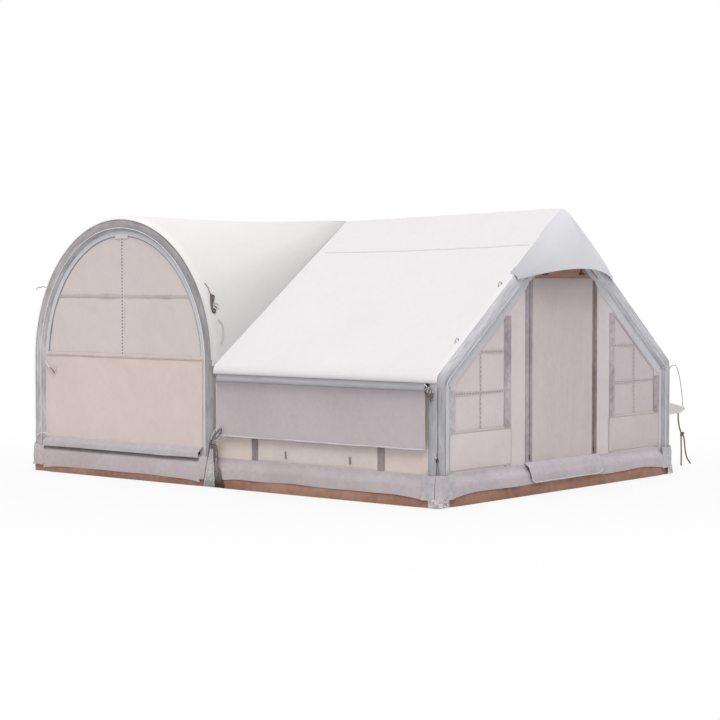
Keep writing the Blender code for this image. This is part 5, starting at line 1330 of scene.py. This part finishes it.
for side_x, end in ((-1, "vault"), (1, "gable")):
    for side_y, name in ENDS:
        name = f"corner_cuff_{end}_{name}"
        line = cuff_line(side_x, side_y, 2.055, 1.465)
        cuff = wrap_cuff(name, line, side_x * 3 + side_y, ["corner_tie", "far_corner_tail"])
        toes = []
        if side_x > 0:
            line = cuff_line(side_x, side_y, 2.12, 1.535)
            toe = wrap_cuff(name + "_toe", line, side_y, foot=0.006, top=0.07, stand=0.01)
            toes.append(sew(toe, "crumple_lit_shaded_cloth", "skirt_cloth"))
        finish = "corner_cuff_cloth" if side_x > 0 else "skirt_cloth"
        cover(cuff, finish, "skirt_cloth", "gathered", "groundsheet_cloth", with_pieces=toes)
for side, name in ENDS:
    ends = [(-0.195, side * CUFF_Y, 0), (0.0, side * CUFF_Y, 0)]
    cuff = wrap_cuff(f"seam_cuff_{name}", ends[::-side], side * 7, ["seam_tie"])
    folds = []
    for part, finish, foot, peak, height in GUSSETS:

        def gusset_point(across, share):
            """A loose three-cornered fold that hangs from the tie to the ground, in front of the cuff."""
            left, right = [low + (high - low) * share for low, high in zip(foot, peak)]
            up = 0.004 + height * share
            fold = abs(ripple(across * 4, up * 14, len(part))) + 0.5 * abs(ripple(across * 9, up * 30, side))
            out = EDGE_Y + 0.0125 + 0.018 * fold * (1 - share * 0.6)
            return Vector((left + (right - left) * across, side * out, up))

        fold = lay_cloth(f"seam_{part}_{name}", steps(0.08, 0, 1)[::-side], steps(0.04, 0, 1), gusset_point)
        folds.append(sew(fold, finish, "skirt_cloth"))
        for across in (0, 1) if part == "gusset" else ():
            edge = [gusset_point(across, share) + Vector((0, side * 0.002, 0.002)) for share in steps(0.05, 0, 1)]
            folds.append(pipe(f"seam_{part}_{name}_rim_{across}", edge, 0.003, 0.01, "rim_cloth", "skirt_cloth"))
    cover(cuff, "skirt_cloth", "skirt_cloth", "gathered", "groundsheet_cloth", with_pieces=folds)


# Short ties at the front: loops at the roof's edge, knots at the eave's ends, and the canopy's strap
# with its hook and ring.
solid_finish("pale_cord", (226, 220, 220), (196, 186, 186), 420, 0.0012, 0.85)
solid_finish("grey_strap", (186, 184, 188), (170, 168, 172), 300, 0.0012, 0.85)


def along_canopy(places, lift):
    """A smooth line over the canopy through (turn, y) places, held off its cloth by lift."""
    points = []
    for turn, y in places:
        spot = canopy_point(turn, y)
        out = (canopy_point(turn + 0.01, y) - spot).cross(canopy_point(turn, y + 0.01) - spot).normalized()
        points.append(spot + out * lift)
    return smooth_route([(point.x, -point.y - Y_BEAM, point.z) for point in points], 0, -1)


def short_tie(name, path, radius, stuff, far_end="object"):
    cord = lay_cord(name, path, radius, stuff)
    declare_cord(cord, path, radius, far_end=far_end, stiffness="medium", lay="hanging")


ROOF_LOOP = ((0, 14, -10), (2, 12, 12), (8, 2, 28), (14, -8, 22), (10, -14, 10), (4, -18, 22))
# Each short tie's radius, stuff, far end and route in millimetres, along X from the tent's middle.
SHORT_TIES = {
    "left_guy_tie": (0.0028, "dark_cord", "bare",
        (-2030, 60, 1575), (-2060, 70, 1584), (-2090, 72, 1572), (-2112, 70, 1581), (-2135, 66, 1568),
        (-2157, 60, 1556)),
    "rail_loop": (0.006, "pale_cord", "object",
        (-2050, 52, 950), (-2030, 56, 925), (-2005, 54, 898), (-1975, 50, 878), (-1945, 48, 872),
        (-1925, 46, 885)),
    "rail_loop_end": (0.004, "dark_cord", "bare",
        (-1990, 56, 892), (-1965, 58, 880), (-1945, 56, 862), (-1932, 54, 842)),
    "strip_curl": (0.004, "pale_cord", "object",
        (-2150, 64, 250), (-2145, 72, 285), (-2120, 76, 315), (-2080, 76, 330), (-2040, 72, 328),
        (-2005, 66, 310)),
    "eave_bow": (0.004, "pale_cord", "object",
        (2080, 78, 892), (2112, 86, 874), (2092, 86, 852), (2132, 88, 872), (2112, 88, 838), (2148, 86, 862),
        (2138, 84, 830), (2158, 80, 842)),
    "eave_bow_shade": (0.004, "dark_cord", "object",
        (2094, 80, 884), (2104, 88, 858), (2122, 88, 880), (2126, 90, 846), (2146, 88, 866), (2150, 84, 828)),
    "eave_knot": (0.007, "dark_cord", "bare",
        (2146, 80, 838), (2160, 90, 822), (2146, 94, 806), (2136, 84, 820), (2152, 80, 830), (2162, 88, 808),
        (2148, 92, 792), (2142, 84, 770)),
    "corner_tie_tail": (0.0025, "dark_cord", "bare",
        (2188, 64, 345), (2198, 70, 320), (2206, 70, 285), (2210, 70, 250)),
    "corner_tie_loop": (0.0035, "pale_cord", "bare",
        (2176, 62, 362), (2170, 66, 376), (2168, 68, 392), (2174, 66, 402)),
    "seam_bow_upper": (0.0045, "dark_cord", "object",
        (-60, 74, 360), (-15, 88, 402), (35, 94, 448), (73, 94, 474), (68, 94, 442), (20, 88, 395),
        (-40, 78, 362)),
    "seam_bow_lower": (0.0035, "grey_strap", "object",
        (-50, 78, 355), (30, 92, 388), (92, 94, 408), (134, 92, 418), (106, 90, 394), (40, 86, 366),
        (-30, 80, 350)),
    # Painted highlight: a pale cord along the top of the upper bow loop paints its lit edge.
    "seam_bow_edge": (0.003, "pale_cord", "object",
        (-52, 82, 375), (-20, 94, 420), (20, 100, 462), (52, 100, 486)),
    "seam_tail_left": (0.0045, "dark_cord", "bare",
        (-30, 78, 352), (-18, 84, 320), (-15, 86, 270), (-15, 86, 205)),
    "seam_tail_right": (0.0045, "dark_cord", "bare",
        (-20, 80, 356), (14, 86, 330), (24, 86, 275), (26, 86, 200)),
    "seam_knot": (0.008, "dark_cord", "object",
        (-58, 76, 372), (-42, 90, 366), (-46, 94, 346), (-62, 84, 346), (-58, 78, 364), (-40, 86, 356),
        (-50, 92, 340)),
}
# Each canopy tie's lift, radius and stuff, and its places as (turn, y) on the canopy.
CANOPY_TIES = {
    "canopy_hook": (0.005, 0.003, "dark_cord",
        (2.5947, -1.572), (2.6165, -1.561), (2.6384, -1.553), (2.6603, -1.556), (2.6909, -1.549)),
    "canopy_strap": (0.008, 0.01, "dark_cord",
        (2.6909, -1.549), (2.715, -1.562), (2.7434, -1.572), (2.7872, -1.58), (2.8, -1.575)),
    "canopy_strap_tail": (0.01, 0.006, "dark_cord",
        (2.7, -1.54), (2.715, -1.53), (2.73, -1.545), (2.75, -1.56)),
    "canopy_ring": (0.008, 0.005, "valve_plastic",
        (2.792, -1.562), (2.8, -1.552), (2.812, -1.554), (2.818, -1.566), (2.814, -1.58), (2.802, -1.584),
        (2.794, -1.574), (2.793, -1.564)),
    "canopy_loop": (0.007, 0.0045, "pale_cord",
        (2.7566, -1.542), (2.77, -1.52), (2.7872, -1.509), (2.8, -1.52), (2.8047, -1.534)),
    "canopy_loop_shade": (0.007, 0.003, "dark_cord",
        (2.77, -1.552), (2.785, -1.54), (2.8, -1.53), (2.809, -1.52)),
    "canopy_tail": (0.005, 0.006, "grey_strap",
        (2.8791, -1.542), (2.91, -1.522), (2.9447, -1.506), (2.9885, -1.51), (3.0278, -1.522),
        (3.041, -1.546)),
}
for name, y in (("upper", -0.79), ("lower", -1.33)):
    top = slope_line(y, 0)
    route = [(2.13 + x, -y + out - Y_BEAM, top + up) for x, out, up in metres(ROOF_LOOP)]
    short_tie(f"roof_loop_{name}", smooth_route(route, 0, -1), 0.0022, "dark_cord", far_end="bare")
for name, (radius, stuff, far_end, *route) in SHORT_TIES.items():
    short_tie(name, smooth_route(metres(route), 0, -1), radius, stuff, far_end)
for name, (lift, radius, stuff, *places) in CANOPY_TIES.items():
    short_tie(name, along_canopy(places, lift), radius, stuff)

# The small black lock on the near corner's cord.
LOCK_RADIUS = 0.011
LOCK_PLACE = Vector((X_GABLE_BEAM + 0.0415, -Y_BEAM - 0.056, 0.345))
bpy.ops.mesh.primitive_uv_sphere_add(segments=20, ring_count=12, radius=LOCK_RADIUS)
lock = bpy.context.object
lock.name = lock.data.name = "corner_cord_lock"
lock.data.transform(Matrix.Translation(LOCK_PLACE) @ Matrix.Diagonal((1, 1, 1.5, 1)))
bpy.ops.object.shade_smooth()
lock.data.materials.append(finishes["valve_plastic"])
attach(lock, "tent")


# Floor and light: a plain white floor that keeps the tent's shadow and is white in the distance,
# an even pale sky, and one wide soft lamp from the front left.
WHITE = (1, 1, 1, 1)
SKY, SUN = 0.6, 1.6
SHADE_REACH = (2.6, 6.0)
bpy.ops.mesh.primitive_plane_add(size=60.0, location=(0, 0, -0.002))
floor = bpy.context.object
floor.name = "floor"
white_floor, tree, shader, start, place = new_finish("white_floor")
plug(tree, shader, {"Base Color": (0.86, 0.86, 0.86, 1), "Roughness": 0.9})
rays = start.draw("ShaderNodeLightPath", {}, {}, "Is Camera Ray")
away = start.draw("ShaderNodeVectorMath", {"operation": "LENGTH"}, {0: place}, "Value")
far = start.draw("ShaderNodeMapRange", {}, {0: away, 1: SHADE_REACH[0], 2: SHADE_REACH[1]})
glow = start.draw("ShaderNodeEmission", {}, {"Color": WHITE, "Strength": 1.0})
share = rays * (far * 0.25 + 0.75)
both = start.draw("ShaderNodeMixShader", {}, {0: share, 1: Thread(tree, shader.outputs[0]), 2: glow})
plug(tree, tree.nodes["Material Output"], {"Surface": both})
floor.data.materials.append(white_floor)

world = bpy.data.worlds.new("pale_sky")
bpy.context.scene.world = world
world.use_nodes = True
sky = world.node_tree
start = Thread(sky)
seen, glossy, through = [
    start.draw("ShaderNodeLightPath", {}, {}, f"Is {kind} Ray") for kind in ("Camera", "Glossy", "Transmission")
]
direct = start.sum("MAXIMUM", start.sum("MAXIMUM", seen, glossy), through)
plug(sky, sky.nodes["Background"], {"Color": WHITE, "Strength": direct * (1 - SKY) + SKY})
sun = bpy.data.objects.new("soft_lamp", bpy.data.lights.new("soft_lamp", "SUN"))
sun.data.energy = SUN
sun.data.angle = radians(32)
sun.rotation_euler = (radians(35), 0, radians(35))
bpy.context.scene.collection.objects.link(sun)
